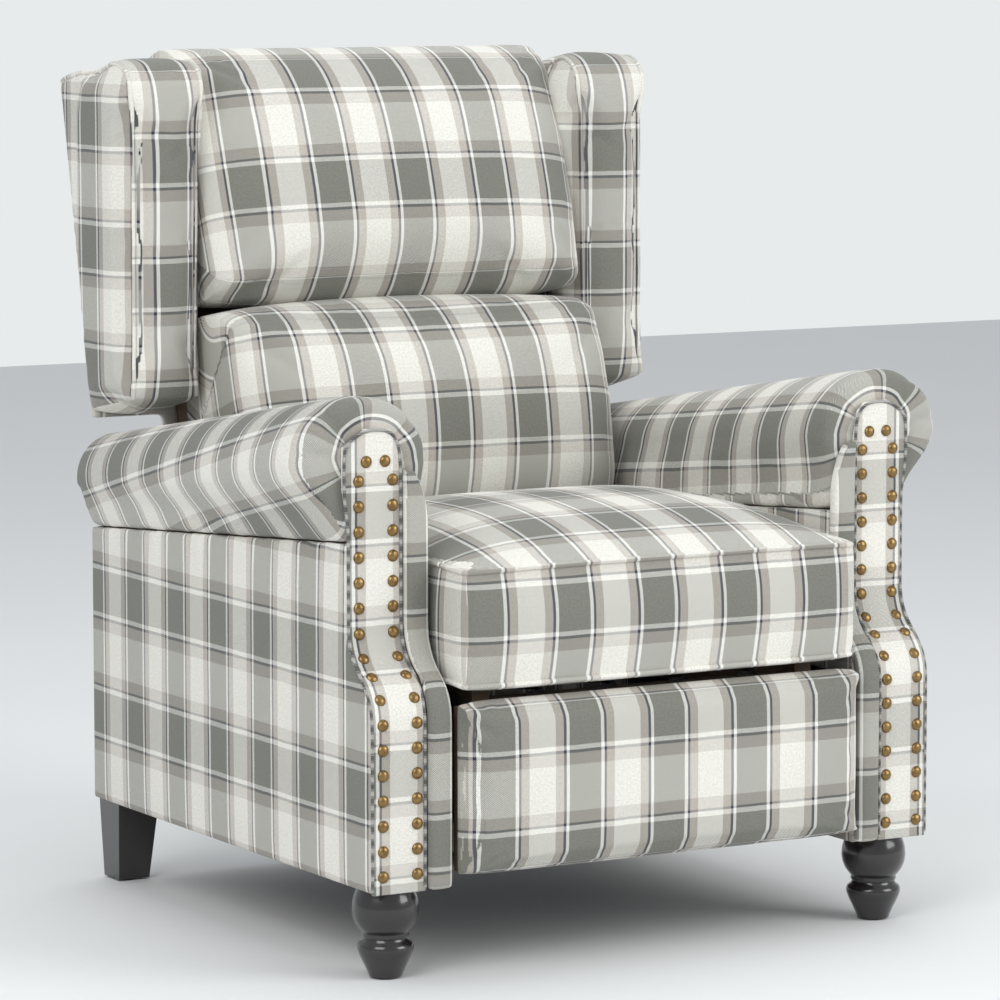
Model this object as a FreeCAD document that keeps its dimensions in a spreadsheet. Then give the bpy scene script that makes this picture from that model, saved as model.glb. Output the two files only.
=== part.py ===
import FreeCAD, Part
import math
import os

import Sketcher
from FreeCAD import Placement, Rotation, Vector

# Wingback push-back recliner, in millimetres.
# X runs across the chair, +Y to the rear, +Z up. The origin lies on the floor under the middle of
# the chair. "left" is the -X side. Heights are from the floor, and depths in the table are from the
# front plane of the arms, unless a note says otherwise.

doc = FreeCAD.newDocument("wingback_recliner")
sheet = doc.addObject("Spreadsheet::Sheet", "Sizes")

DRIVING_SIZES = [
    # Overall form
    ("back_reach", 809, "arm front plane to the rear of the back at its top"),
    ("footrest_proud", 28, "footrest face in front of the arm front plane"),
    ("seat_half", 268, "middle of the chair to the inner face of an arm"),
    ("arm_wide", 98, "width of an arm below its roll"),
    ("arm_bottom", 102, "underside of the arms"),
    ("arm_tail", 62, "rear end of the arms behind the back hinge"),
    ("seat_fit", 0.3, "clearance between pieces that sit together"),
    # Arm front, an ogee that steps back above the knee
    ("knee_step", 54, "setback of the upper arm front"),
    ("knee_low", 290, "height where the ogee starts"),
    ("knee_high", 392, "height where the ogee ends"),
    ("strip_thick", 5, "nailed strip on the arm front"),
    ("wrap_wide", 32, "width of the puffed front between the seat and the strip"),
    ("strip_top", 609, "top of the nailed strip"),
    ("strip_flare", 7, "how far the head of the strip spreads outwards"),
    ("strip_head", 64, "height of the octagonal head of the strip"),
    ("wrap_proud", 9, "puffed inner front ahead of the strip"),
    ("wrap_top", 560, "top of the puffed inner front"),
    ("wrap_round", 7, "rounding of the puffed inner front"),
    # Arm roll, a tapered scroll
    ("roll_front_high", 574, "centre height of the roll at the front"),
    ("roll_front_round", 75, "radius of the roll at the front"),
    ("roll_rear_high", 496, "centre height of the roll at the rear"),
    ("roll_rear_round", 52, "radius of the roll at the rear"),
    ("roll_rear_reach", 117, "inner face of an arm to the outermost point of its roll at the rear"),
    ("seam_front", 484, "height of the seam under the roll at the front"),
    ("seam_rear", 435, "height of the seam under the roll at the rear"),
    ("roll_nose", 24, "length of the rounded front end of the roll"),
    ("roll_tuck", 15, "how much smaller the roll is at its front face"),
    ("side_thick", 8, "outer side panel"),
    ("inner_thick", 6, "inner arm panel"),
    ("arm_board_thick", 16, "board under the roll"),
    ("post_depth", 90, "front post, front to back at its foot"),
    ("rear_post_depth", 38, "rear post, front to back"),
    ("base_rail_high", 40, "base rails"),
    ("base_lift", 1, "timber base above the underside of the arms"),
    ("cross_rail_thick", 22, "cross rails of the base"),
    ("front_rail_depth", 150, "depth of the front cross rail"),
    ("rear_panel_high", 312, "top of the lower rear panel"),
    ("rear_panel_thick", 8, "lower rear panel"),
    ("corner_block", 60, "leg of a corner block"),
    ("dust_thick", 1.2, "dust cover"),
    # Nailheads
    ("nail_round", 5.6, "radius of a nailhead"),
    ("nail_dome", 3.2, "height of a nailhead"),
    ("nail_pitch", 28, "spacing of the nailheads"),
    ("nail_edge", 11, "row of nailheads in from the edge of the strip"),
    ("nail_first", 122, "height of the lowest nailhead"),
    ("turned_sides", 20, "sides of a turned front leg"),
    ("nail_sides", 8, "sides of a hammered nailhead"),
    # Legs
    ("leg_inset", 58, "inner face of an arm to the middle of a front leg"),
    ("front_leg_depth", 46, "arm front plane to the middle of a front leg"),
    ("foot_round", 19, "radius of a front leg at the floor"),
    ("cup_round", 31.5, "radius of the cup above the foot"),
    ("cup_high", 33, "height of the cup"),
    ("neck_round", 24.5, "radius of the neck"),
    ("neck_high", 49, "height of the neck"),
    ("bun_round", 37.5, "radius of the bun"),
    ("bun_high", 75, "height of the widest part of the bun"),
    ("leg_top_round", 30, "radius of a front leg at its top"),
    ("rear_leg_foot", 41, "side of a rear leg at the floor"),
    ("rear_leg_head", 54, "side of a rear leg at its top"),
    ("rear_leg_rake", 22, "how far the foot of a rear leg lies behind its head"),
    ("rear_leg_inset", 36, "inner face of an arm to the inner face of a rear leg"),
    ("glide_round", 9, "leg glide"),
    ("glide_thick", 2, "part of the glide below the leg"),
    ("bolt_round", 4, "leg bolt"),
    ("bolt_rise", 34, "leg bolt above the leg"),
    ("bolt_sink", 28, "leg bolt inside the leg"),
    # Seat
    ("cushion_front", -20, "depth of the front of the seat cushion"),
    ("cushion_back_gap", 10, "seat cushion to the lumbar of the lower bolster"),
    ("cushion_bottom", 318, "underside of the seat cushion"),
    ("cushion_edge", 460, "height of the top welt of the cushion"),
    ("cushion_crown", 30, "crown of the cushion above its welt"),
    ("cushion_bulge", 5, "bulge of the cushion border"),
    ("cushion_draw", 6, "how far the corners of the cushion draw in"),
    ("cushion_gap", 3, "cushion to arm"),
    ("frame_front", 30, "depth of the front of the seat frame"),
    ("frame_margin", 43, "seat frame in from the inner face of an arm"),
    ("frame_thick", 22, "rails of the seat frame"),
    ("frame_bottom", 258, "underside of the seat frame"),
    ("spring_drop", 15, "front and rear seat rails below the side rails"),
    ("spring_wire", 2, "half thickness of the seat spring wire"),
    ("spring_swing", 22, "half width of a seat spring"),
    ("spring_spacing", 94, "spacing of the seat springs"),
    ("spring_count", 4, "seat springs"),
    ("spring_turns", 9, "half turns of a seat spring"),
    ("cushion_roll", 12, "rounding of the lower front edge of the cushion"),
    # Footrest linkage, all depths from the arm front plane
    ("plate_margin", 18, "seat side plate in from the inner face of an arm"),
    ("steel_thick", 3, "steel plates and links"),
    ("layer_gap", 1, "gap between links that pass each other"),
    ("pivot_depth", 120, "depth of the rear link pivot"),
    ("pivot_high", 292, "height of the rear link pivot"),
    ("line_angle", 6, "slope of the line along which the linkage opens"),
    ("fold_angle", 82, "angle of a link to that line when folded"),
    ("open_angle", 14, "angle of a link to that line when open"),
    ("link_length", 180, "pivot to pivot on a long link"),
    ("link_half", 9, "half the width of a link"),
    ("pin_round", 4, "radius of a link rivet"),
    ("pin_fit", 0.08, "running clearance of a rivet in its hole"),
    ("pin_end", 0.4, "rivet past the far face of the link that it holds"),
    ("slot_fit", 0.5, "clearance of the rivet in the slot of the side plate"),
    ("tube_round", 8, "radius of the cross tube"),
    ("tube_bore", 6.5, "bore radius of the cross tube"),
    ("board_thick", 12, "footrest board"),
    ("board_bottom", 112, "underside of the footrest"),
    ("board_top", 308, "top of the footrest"),
    ("board_gap", 4, "footrest to arm"),
    ("board_inset", 6, "board inside the edge of its pad"),
    ("pad_crown", 2, "crown of the footrest pad"),
    ("bracket_wide", 34, "flange of a footrest bracket"),
    ("bracket_reach", 120, "height of a footrest bracket flange"),
    # Seat glide
    ("rail_low", 205, "underside of the inside of a glide rail"),
    ("rail_inside", 21, "inside height of a glide rail"),
    ("glide_travel", 60, "how far the seat glides forward"),
    ("rail_spare", 15, "glide rail past the last place of a glide block"),
    ("rail_skin", 2.5, "steel of a glide rail"),
    ("glide_block", 40, "length of a nylon glide block"),
    ("glide_play", 0.5, "play of a glide block in its rail"),
    ("glide_first", 205, "depth of the front glide block"),
    # Back, measured from its hinge: "out" along the lean, "rise" up the lean
    ("back_angle", 11, "lean of the back"),
    ("back_hinge_high", 320, "height of the back hinge"),
    ("back_inset", 31.4, "hinge to the rear face of the back"),
    ("panel_thick", 8, "outside back panel"),
    ("panel_rise", 668, "hinge to the top of the outside back panel"),
    ("panel_drop", 10, "outside back panel below the hinge"),
    ("panel_corner", 36, "top corners of the outside back panel"),
    ("post_thick", 40, "back frame, front to rear"),
    ("post_margin", 23, "back frame in from the inner face of an arm"),
    ("post_wide", 38, "width of a back post"),
    ("post_top", 640, "hinge to the top of the back frame"),
    ("post_drop", 22, "back posts below the hinge"),
    ("back_rail", 40, "height of a back rail"),
    ("web_wide", 50, "width of a webbing strap"),
    ("web_thick", 2, "webbing strap"),
    ("web_inset", 8, "end of a webbing strap in from the outside of the back frame"),
    ("batten_lift", 12, "wing batten above the underside of the wing"),
    ("lower_webs", 3, "webbing straps below the middle rail"),
    ("upper_webs", 2, "webbing straps above the middle rail"),
    ("wing_wide", 95, "thickness of a wing"),
    ("wing_margin", 6, "wing in from the inner face of an arm"),
    ("wing_bottom", 254, "hinge to the underside of a wing"),
    ("wing_top", 672, "hinge to the top of a wing"),
    ("wing_foot", 97, "front of a wing at its underside, ahead of the hinge"),
    ("wing_head", 178, "front of a wing at its top, ahead of the hinge"),
    ("wing_nose", 46, "rounding of the top front corner of a wing"),
    ("wing_heel", 14, "rounding of the other corners of a wing"),
    ("wing_round", 9, "rounding of the edges of a wing"),
    ("crease_rise", 369, "hinge to the crease between the bolsters"),
    ("crease_depth", 116, "crease ahead of the hinge"),
    ("crease_gap", 1, "between the bolsters at the crease"),
    ("upper_front", 160, "front of the upper bolster at its foot"),
    ("upper_head", 127, "front of the upper bolster at its head"),
    ("upper_round", 24, "foot of the upper bolster above the crease"),
    ("crest_rise", 702, "hinge to the crest"),
    ("crest_shoulder", 44, "crest above the head of the upper bolster front"),
    ("crest_fall", 20, "crest above the rear edge of the upper bolster"),
    ("crest_peak", 1, "highest arc of the crest below its top"),
    ("lower_head", 188, "front of the lower bolster at its head"),
    ("lower_foot", 204, "front of the lower bolster at the lumbar"),
    ("lumbar_rise", 165, "hinge to the lumbar"),
    ("lower_bottom", 48, "hinge to the underside of the lower bolster"),
    ("bolster_gap", 1, "bolster to wing"),
    ("bolster_draw", 10, "how far a bolster draws in at its ends"),
    ("bolster_swell", 4, "how far a bolster swells in the middle"),
    ("bracket_thick", 4, "steel of the back brackets and hinge plates"),
    ("hinge_round", 6, "radius of the back hinge stud"),
]

for row, (alias, value, note) in enumerate(DRIVING_SIZES, start=1):
    sheet.set(f"A{row}", note)
    sheet.set(f"B{row}", str(value))
    sheet.setAlias(f"B{row}", alias)
doc.recompute()


# A Size is a number together with the expression that works it out from the sheet, so that one
# line of arithmetic gives both the first value of a dimension and its binding.
class Size:
    def __init__(self, value, text):
        self.value = value
        self.text = text

    def __float__(self):
        return float(self.value)

    def __add__(self, other):
        return join(self, "+", other, self.value + float(other))

    def __radd__(self, other):
        return join(other, "+", self, float(other) + self.value)

    def __sub__(self, other):
        return join(self, "-", other, self.value - float(other))

    def __rsub__(self, other):
        return join(other, "-", self, float(other) - self.value)

    def __mul__(self, other):
        return join(self, "*", other, self.value * float(other))

    def __rmul__(self, other):
        return join(other, "*", self, float(other) * self.value)

    def __truediv__(self, other):
        return join(self, "/", other, self.value / float(other))

    def __neg__(self):
        return join(0, "-", self, -self.value)


def wording(quantity):
    return quantity.text if isinstance(quantity, Size) else f"{quantity:g}"


def join(left, sign, right, value):
    return Size(value, f"({wording(left)} {sign} {wording(right)})")


def size(alias):
    return Size(float(sheet.get(alias)), f"Sizes.{alias}")


def cosine(angle):
    return Size(math.cos(math.radians(float(angle))), f"cos({wording(angle)})")


def sine(angle):
    return Size(math.sin(math.radians(float(angle))), f"sin({wording(angle)})")


def tangent(angle):
    return Size(math.tan(math.radians(float(angle))), f"tan({wording(angle)})")


def bind(thing, prop, quantity):
    if isinstance(quantity, Size):
        thing.setExpression(prop, quantity.text)
    else:
        thing.setExpression(prop, wording(quantity))


sub_parts = []


def named(thing, label, is_sub_part=True):
    thing.Label = label
    if is_sub_part:
        sub_parts.append(thing)
    return thing


def place(thing, x=0, y=0, z=0, turn=0):
    thing.Placement = Placement(Vector(), Rotation(Vector(1, 0, 0), float(turn)))
    bind(thing, "Placement.Base.x", x)
    bind(thing, "Placement.Base.y", y)
    bind(thing, "Placement.Base.z", z)
    if isinstance(turn, Size):
        bind(thing, "Placement.Rotation.Angle", turn)
    return thing


# A box between two heights on each axis.
def block(label, x, y, z, is_sub_part=True):
    box = named(doc.addObject("Part::Box", label), label, is_sub_part)
    bind(box, "Length", x[1] - x[0])
    bind(box, "Width", y[1] - y[0])
    bind(box, "Height", z[1] - z[0])
    return place(box, x[0], y[0], z[0])


def fused(label, pieces, is_sub_part=True):
    joined = named(doc.addObject("Part::MultiFuse", label), label, is_sub_part)
    joined.Shapes = pieces
    return joined


# Both sides of the chair are built by the same functions: a span across the chair is given for the
# right side and mirrored for the left.
SIDES = (("left", -1), ("right", 1))


def across(side, inner, outer):
    return (inner, outer) if side > 0 else (-outer, -inner)


# Sketches. An outline is a list of corners (u, v), or (u, v, radius) where the run from that corner
# to the next is an arc. The radius is positive where the arc turns to the left.
def arc_through(start, end, radius):
    chord = end - start
    half = chord.Length / 2
    rise = abs(radius) - math.sqrt(max(radius * radius - half * half, 0))
    normal = Vector(chord.y, -chord.x, 0).normalize()
    sign = 1 if radius > 0 else -1
    middle = (start + end) * 0.5 + normal * (rise * sign)
    return Part.Arc(start, middle, end)


def sketch_outline(sketch, outline):
    corners = [Vector(float(corner[0]), float(corner[1]), 0) for corner in outline]
    curves = []
    ends = []
    constraints = []
    quantities = []
    first_curve = len(sketch.Geometry)

    def constrain(quantity, *values):
        constraints.append(Sketcher.Constraint(*values))
        quantities.append(quantity)

    for index, corner in enumerate(outline):
        start = corners[index]
        end = corners[(index + 1) % len(corners)]
        number = first_curve + index
        if len(corner) == 3:
            curve = arc_through(start, end, float(corner[2]))
            is_forward = float(corner[2]) > 0
            ends.append((number, (1, 2) if is_forward else (2, 1)))
            radius = corner[2] if is_forward else -corner[2]
            constrain(radius, "Radius", number, float(radius))
        else:
            curve = Part.LineSegment(start, end)
            ends.append((number, (1, 2)))
        curves.append(curve)
    for index, (number, (first, last)) in enumerate(ends):
        after, (after_first, _) = ends[(index + 1) % len(ends)]
        u, v = outline[index][0], outline[index][1]
        constrain(None, "Coincident", number, last, after, after_first)
        constrain(u, "DistanceX", -1, 1, number, first, float(u))
        constrain(v, "DistanceY", -1, 1, number, first, float(v))
    sketch.addGeometry(curves, False)
    first_constraint = len(sketch.Constraints)
    sketch.addConstraint(constraints)
    for index, quantity in enumerate(quantities, start=first_constraint):
        if isinstance(quantity, Size):
            sketch.setExpression(f"Constraints[{index}]", quantity.text)


def sketch_circle(sketch, u, v, radius):
    circle = Part.Circle(Vector(float(u), float(v), 0), Vector(0, 0, 1), float(radius))
    number = sketch.addGeometry(circle, False)
    first_constraint = len(sketch.Constraints)
    sketch.addConstraint([
        Sketcher.Constraint("DistanceX", -1, 1, number, 3, float(u)),
        Sketcher.Constraint("DistanceY", -1, 1, number, 3, float(v)),
        Sketcher.Constraint("Radius", number, float(radius)),
    ])
    for index, quantity in enumerate((u, v, radius), start=first_constraint):
        if isinstance(quantity, Size):
            sketch.setExpression(f"Constraints[{index}]", quantity.text)


def new_body(label, is_sub_part=True):
    return named(doc.addObject("PartDesign::Body", label), label, is_sub_part)


def new_sketch(body, name, plane):
    sketch = body.newObject("Sketcher::SketchObject", name)
    support = [part for part in body.Origin.OriginFeatures if part.Role == plane][0]
    sketch.AttachmentSupport = (support, [""])
    sketch.MapMode = "FlatFace"
    return sketch


def pad(body, sketch, length, is_reversed=False):
    feature = body.newObject("PartDesign::Pad", f"{body.Name}_pad")
    feature.Profile = sketch
    bind(feature, "Length", length)
    feature.Reversed = is_reversed
    sketch.Visibility = False
    body.Tip = feature
    return feature


# A plate cut to an outline in the YZ plane, padded along +X.
def plate(label, outline, thickness, holes=(), is_sub_part=True):
    body = new_body(label, is_sub_part)
    sketch = new_sketch(body, f"{label}_sketch", "YZ_Plane")
    sketch_outline(sketch, outline)
    for hole in holes:
        sketch_circle(sketch, *hole)
    pad(body, sketch, thickness)
    return body


# Adds a round stud to a plate, from its face at local x to either side.
def stud(body, name, u, v, radius, length, is_reversed):
    sketch = new_sketch(body, f"{body.Name}_{name}", "YZ_Plane")
    sketch_circle(sketch, u, v, radius)
    pad(body, sketch, length, is_reversed)


def round_edges(body, radius, wanted):
    doc.recompute()
    tip = body.Tip
    names = [f"Edge{index}" for index, edge in enumerate(tip.Shape.Edges, start=1) if wanted(edge)]
    fillet = body.newObject("PartDesign::Fillet", f"{body.Name}_fillet")
    fillet.Base = (tip, names)
    bind(fillet, "Radius", radius)
    body.Tip = fillet
    return fillet


def bevel_edges(body, setback, wanted):
    doc.recompute()
    tip = body.Tip
    names = [f"Edge{index}" for index, edge in enumerate(tip.Shape.Edges, start=1) if wanted(edge)]
    chamfer = body.newObject("PartDesign::Chamfer", f"{body.Name}_bevel")
    chamfer.Base = (tip, names)
    bind(chamfer, "Size", setback)
    body.Tip = chamfer
    return chamfer


def runs_along_x(edge):
    tangent_there = edge.tangentAt(edge.FirstParameter)
    return abs(tangent_there.x) > 0.99


# A shape made by Part's own functions, for forms that are lofted.
def free_form(label, shape, x=0, y=0, z=0, turn=0):
    feature = named(doc.addObject("Part::Feature", label), label)
    feature.Shape = shape
    return place(feature, x, y, z, turn)


def section(points):
    # points: corners in order, each (place, None) before a line or (place, bulge) before an arc
    # whose middle stands outside the chord by the bulge
    edges = []
    corners = [point for point, _ in points]
    area = sum(a.y * b.z - b.y * a.z for a, b in zip(corners, corners[1:] + corners[:1]))
    turning = 1 if area > 0 else -1
    for index, (start, bulge) in enumerate(points):
        end = points[(index + 1) % len(points)][0]
        if bulge is None:
            edges.append(Part.LineSegment(start, end).toShape())
            continue
        chord = end - start
        outward = Vector(0, chord.z, -chord.y).normalize() * turning
        middle = (start + end) * 0.5 + outward * bulge
        edges += chords(Part.Arc(start, middle, end), 3)
    return Part.Wire(edges)


# A soft curve is drawn as a few straight runs, so its faces stay few.
def chords(arc, count):
    points = arc.toShape().discretize(Number=count + 1)
    return [Part.LineSegment(a, b).toShape() for a, b in zip(points, points[1:])]


# A solid through sections with the same number of corners, in flat faces. A side that would be
# twisted is laid in two triangles.
def loft(sections):
    rings = [[vertex.Point for vertex in wire.OrderedVertexes] for wire in sections]
    faces = [Part.Face(sections[0]), Part.Face(sections[-1])]
    for low, high in zip(rings, rings[1:]):
        for index in range(len(low)):
            after = (index + 1) % len(low)
            faces += flat_faces([low[index], low[after], high[after], high[index]])
    shell = Part.makeShell(faces)
    shell.sewShape()
    solid = Part.makeSolid(shell)
    if solid.Volume < 0:
        solid.reverse()
    return solid


def flat_faces(corners):
    a, b, c, d = corners
    normal = (b - a).cross(c - a)
    if normal.Length > 1e-9 and abs(normal.normalize().dot(d - a)) < 1e-8:
        return [Part.Face(Part.makePolygon([a, b, c, d, a]))]
    return [Part.Face(Part.makePolygon([a, b, c, a])), Part.Face(Part.makePolygon([a, c, d, a]))]


# Sizes that several sub-parts share, across the chair
fit = size("seat_fit")
seat_half = size("seat_half")
arm_outer = seat_half + size("arm_wide")
strip_inner = seat_half + size("wrap_wide")
leg_side = seat_half + size("leg_inset")
rear_leg_inner = seat_half + size("rear_leg_inset")
frame_half = seat_half - size("frame_margin")
plate_outer = seat_half - size("plate_margin")
post_half = seat_half - size("post_margin")
wing_inner = seat_half - size("wing_margin")
wing_outer = wing_inner + size("wing_wide")

# and from front to rear: the arms, the back hinge, and the seat between them
lean = size("back_angle")
panel_rear = size("back_inset")
front = (size("footrest_proud") - size("back_reach")) / 2
hinge_high = size("back_hinge_high")
hinge_depth = front + size("back_reach") - size("panel_rise") * sine(lean) - panel_rear * cosine(lean)
arm_rear = hinge_depth + size("arm_tail")
lumbar_front = hinge_depth - (size("lower_foot") + size("bolster_swell")) * cosine(lean) \
    + size("lumbar_rise") * sine(lean)
cushion_rear = lumbar_front - size("cushion_back_gap")
arm_bottom = size("arm_bottom")
knee_step = size("knee_step")
knee_low = size("knee_low")
knee_high = size("knee_high")
strip_thick = size("strip_thick")
knee_rise = knee_high - knee_low
ogee_radius = (knee_step * knee_step + knee_rise * knee_rise) / (knee_step * 4)
core_inner = seat_half + size("inner_thick") + fit
core_outer = arm_outer - size("side_thick") - fit
core_bottom = arm_bottom + size("base_lift")
roll_start = front + knee_step + strip_thick + fit
rear_post_rear = arm_rear - fit - size("side_thick")
rear_post_front = rear_post_rear - size("rear_post_depth")
rear_leg_depth = (rear_post_front + rear_post_rear) / 2


# The ogee of the arm front at a setback from the nailed face, from low to high.
def ogee(setback):
    depth = front + setback
    middle = (knee_low + knee_high) / 2
    return [
        (depth, knee_low, -ogee_radius),
        (depth + knee_step / 2, middle, ogee_radius),
        (depth + knee_step, knee_high),
    ]


def seam_height(depth):
    slope = (size("seam_front") - size("seam_rear")) / (arm_rear - roll_start)
    return size("seam_front") - slope * (depth - roll_start)


# A leg bolt goes up into each post.
def bolt_hole(label, post, x, y):
    drill = doc.addObject("Part::Cylinder", f"{label}_drill")
    bind(drill, "Radius", size("bolt_round") + fit)
    bind(drill, "Height", size("bolt_rise") + fit)
    place(drill, x=x, y=y, z=arm_bottom - fit)
    drilled = named(doc.addObject("Part::Cut", label), label)
    drilled.Base = post
    drilled.Tool = drill
    return drilled


# The wooden core, the panels and the soft roll of each arm
def make_arm(name, side):
    core = across(side, core_inner, core_outer)
    behind_strip = strip_thick + fit
    post_rear = front + size("post_depth")
    board_under = size("arm_board_thick") + fit

    post = plate(
        f"{name}_front_post_blank",
        [(front + behind_strip, core_bottom)]
        + ogee(behind_strip)
        + [
            (roll_start, seam_height(roll_start) - board_under),
            (post_rear, seam_height(post_rear) - board_under),
            (post_rear, core_bottom),
        ],
        core[1] - core[0],
        is_sub_part=False,
    )
    place(post, x=core[0])
    bolt_hole(f"{name}_front_post", post, leg_side * side, front + size("front_leg_depth"))

    block(
        f"{name}_base_rail",
        core,
        (post_rear, rear_post_front),
        (core_bottom, core_bottom + size("base_rail_high")),
    )
    rear_post = plate(
        f"{name}_rear_post_blank",
        [
            (rear_post_front, core_bottom),
            (rear_post_rear, core_bottom),
            (rear_post_rear, seam_height(rear_post_rear) - board_under),
            (rear_post_front, seam_height(rear_post_front) - board_under),
        ],
        core[1] - core[0],
        is_sub_part=False,
    )
    place(rear_post, x=core[0])
    rear_leg_x = (rear_leg_inner + size("rear_leg_head") / 2) * side
    bolt_hole(f"{name}_rear_post", rear_post, rear_leg_x, rear_leg_depth)

    board = plate(
        f"{name}_arm_board",
        [
            (roll_start, seam_height(roll_start) - board_under),
            (rear_post_rear, seam_height(rear_post_rear) - board_under),
            (rear_post_rear, seam_height(rear_post_rear) - fit),
            (roll_start, seam_height(roll_start) - fit),
        ],
        core[1] - core[0],
        is_sub_part=False,
    )
    place(board, x=core[0])

    skin_outline = (
        [(front + behind_strip, arm_bottom)]
        + ogee(behind_strip)
        + [
            (roll_start, seam_height(roll_start) - fit),
            (arm_rear, seam_height(arm_rear) - fit),
            (arm_rear, arm_bottom),
        ]
    )
    outer = across(side, arm_outer - size("side_thick"), arm_outer)
    place(plate(f"{name}_side_panel", skin_outline, size("side_thick")), x=outer[0])
    inner = across(side, seat_half, seat_half + size("inner_thick"))
    place(plate(f"{name}_inner_panel", skin_outline, size("inner_thick")), x=inner[0])

    make_roll(name, side)
    make_strip(name, side)
    make_wrap(name, side)
    return board


# The roll: a scroll in cross-section, flat below where it sits on its board. It tapers to the rear,
# and its front end is rounded where the cloth is pleated round it.
def roll_section(side, depth, tuck):
    share = (depth - float(roll_start)) / float(arm_rear - roll_start)
    radius = blend("roll_front_round", "roll_rear_round", share) - tuck
    high = blend("roll_front_high", "roll_rear_high", share)
    front_middle = float(seat_half + size("roll_front_round"))
    rear_middle = float(seat_half + size("roll_rear_reach") - size("roll_rear_round"))
    middle = front_middle + (rear_middle - front_middle) * share
    seam = float(seam_height(Size(depth, f"{depth:g}"))) + tuck / 3
    inner = float(seat_half) + tuck
    outer = float(arm_outer) - tuck / 2
    lean = math.radians(20)

    def spot(across_there, up):
        return Vector(side * across_there, depth, up)

    right = spot(middle + radius * math.cos(lean), high - radius * math.sin(lean))
    top = spot(middle, high + radius)
    left = spot(middle - radius, high)
    arch = math.radians(45)
    upper_right = spot(middle + radius * math.cos(arch), high + radius * math.sin(arch))
    upper_left = spot(middle - radius * math.cos(arch), high + radius * math.sin(arch))
    lines = [
        Part.LineSegment(spot(inner, seam), spot(outer, seam)).toShape(),
        Part.LineSegment(spot(outer, seam), right).toShape(),
    ]
    lines += chords(Part.Arc(right, upper_right, top), 6)
    lines += chords(Part.Arc(top, upper_left, left), 5)
    lines.append(Part.LineSegment(left, spot(inner, seam)).toShape())
    return Part.Wire(lines)


def blend(first, last, share):
    return float(size(first)) * (1 - share) + float(size(last)) * share


def make_roll(name, side):
    nose = float(size("roll_nose"))
    tuck = float(size("roll_tuck"))
    start = float(roll_start)
    end = float(arm_rear)
    stations = [
        (start, tuck),
        (start + nose * 0.2, tuck * 0.35),
        (start + nose, 0),
        (end, 0),
    ]
    sections = [roll_section(side, depth, inset) for depth, inset in stations]
    free_form(f"{name}_arm_roll", loft(sections))


# The strip that carries the nailheads: the ogee plate cut to an outline with an octagonal head.
def strip_plate(side):
    inner = float(strip_inner)
    outer = float(arm_outer)
    flare = float(size("strip_flare"))
    top = float(size("strip_top"))
    head = float(size("strip_head"))
    bottom = float(arm_bottom)
    thick = float(strip_thick)
    far = float(arm_outer)
    depth = [float(corner[0]) for corner in ogee(0)]
    low, high = float(knee_low), float(knee_high)
    radius = float(ogee_radius)

    def swept(setback):
        shift = Vector(0, setback, 0)
        first = arc_in_side_view(depth[0], low, depth[1], (low + high) / 2, -radius)
        second = arc_in_side_view(depth[1], (low + high) / 2, depth[2], high, radius)
        lower = Part.LineSegment(Vector(0, depth[0], bottom), Vector(0, depth[0], low)).toShape()
        upper = Part.LineSegment(Vector(0, depth[2], high), Vector(0, depth[2], top)).toShape()
        edges = [lower, first, second, upper]
        return [edge.translated(shift) for edge in edges]

    face_edges = swept(0)
    back_edges = swept(thick)
    foot = Part.LineSegment(Vector(0, depth[0], bottom), Vector(0, depth[0] + thick, bottom))
    crown = Part.LineSegment(Vector(0, depth[2], top), Vector(0, depth[2] + thick, top))
    wire = Part.Wire(Part.__sortEdges__(face_edges + back_edges + [foot.toShape(), crown.toShape()]))
    ribbon = Part.Face(wire).extrude(Vector(far + flare * 2, 0, 0))
    outline = [
        (inner, bottom),
        (outer, bottom),
        (outer, top - head * 1.7),
        (outer + flare, top - head),
        (outer + flare, top - head * 0.3),
        (outer - flare * 3, top),
        (inner + flare, top - head * 0.03),
        (inner, top - head * 0.66),
    ]
    corners = [Vector(across_there, float(front) - thick, up) for across_there, up in outline]
    shield = Part.Face(Part.makePolygon(corners + corners[:1]))
    shield = shield.extrude(Vector(0, float(knee_step) + 3 * thick, 0))
    strip = ribbon.common(shield)
    if side < 0:
        strip = strip.mirror(Vector(), Vector(1, 0, 0))
    return strip


def arc_in_side_view(start_y, start_z, end_y, end_z, radius):
    arc = arc_through(Vector(start_y, start_z, 0), Vector(end_y, end_z, 0), radius)
    points = [Vector(0, point.x, point.y) for point in arc.toShape().discretize(Number=3)]
    return Part.Arc(*points).toShape()


def make_strip(name, side):
    free_form(f"{name}_nail_strip", strip_plate(side))


# Depth of the nailed face at a height, along the ogee
def strip_depth(height):
    low, high = float(knee_low), float(knee_high)
    step = float(knee_step)
    radius = float(ogee_radius)
    base = float(front)
    if height <= low:
        return base
    if height >= high:
        return base + step
    if height < (low + high) / 2:
        return base + radius - math.sqrt(radius ** 2 - (height - low) ** 2)
    return base + step - radius + math.sqrt(radius ** 2 - (high - height) ** 2)


def strip_lean(height):
    step = 0.5
    rise = strip_depth(height + step) - strip_depth(height - step)
    return math.degrees(math.atan2(rise, 2 * step))


# A nailhead: a hammered dome
def dome(radius, rise):
    ball = (radius ** 2 + rise ** 2) / (2 * rise)
    rings = []
    for share in (1, 0.6):
        ring = radius * share
        up = rise - ball + math.sqrt(ball ** 2 - ring ** 2)
        sides = int(float(size("nail_sides")))
        turns = [2 * math.pi * index / sides for index in range(sides)]
        corners = [Vector(ring * math.cos(turn), ring * math.sin(turn), up) for turn in turns]
        rings.append(Part.makePolygon(corners + corners[:1]))
    return loft(rings)


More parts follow.
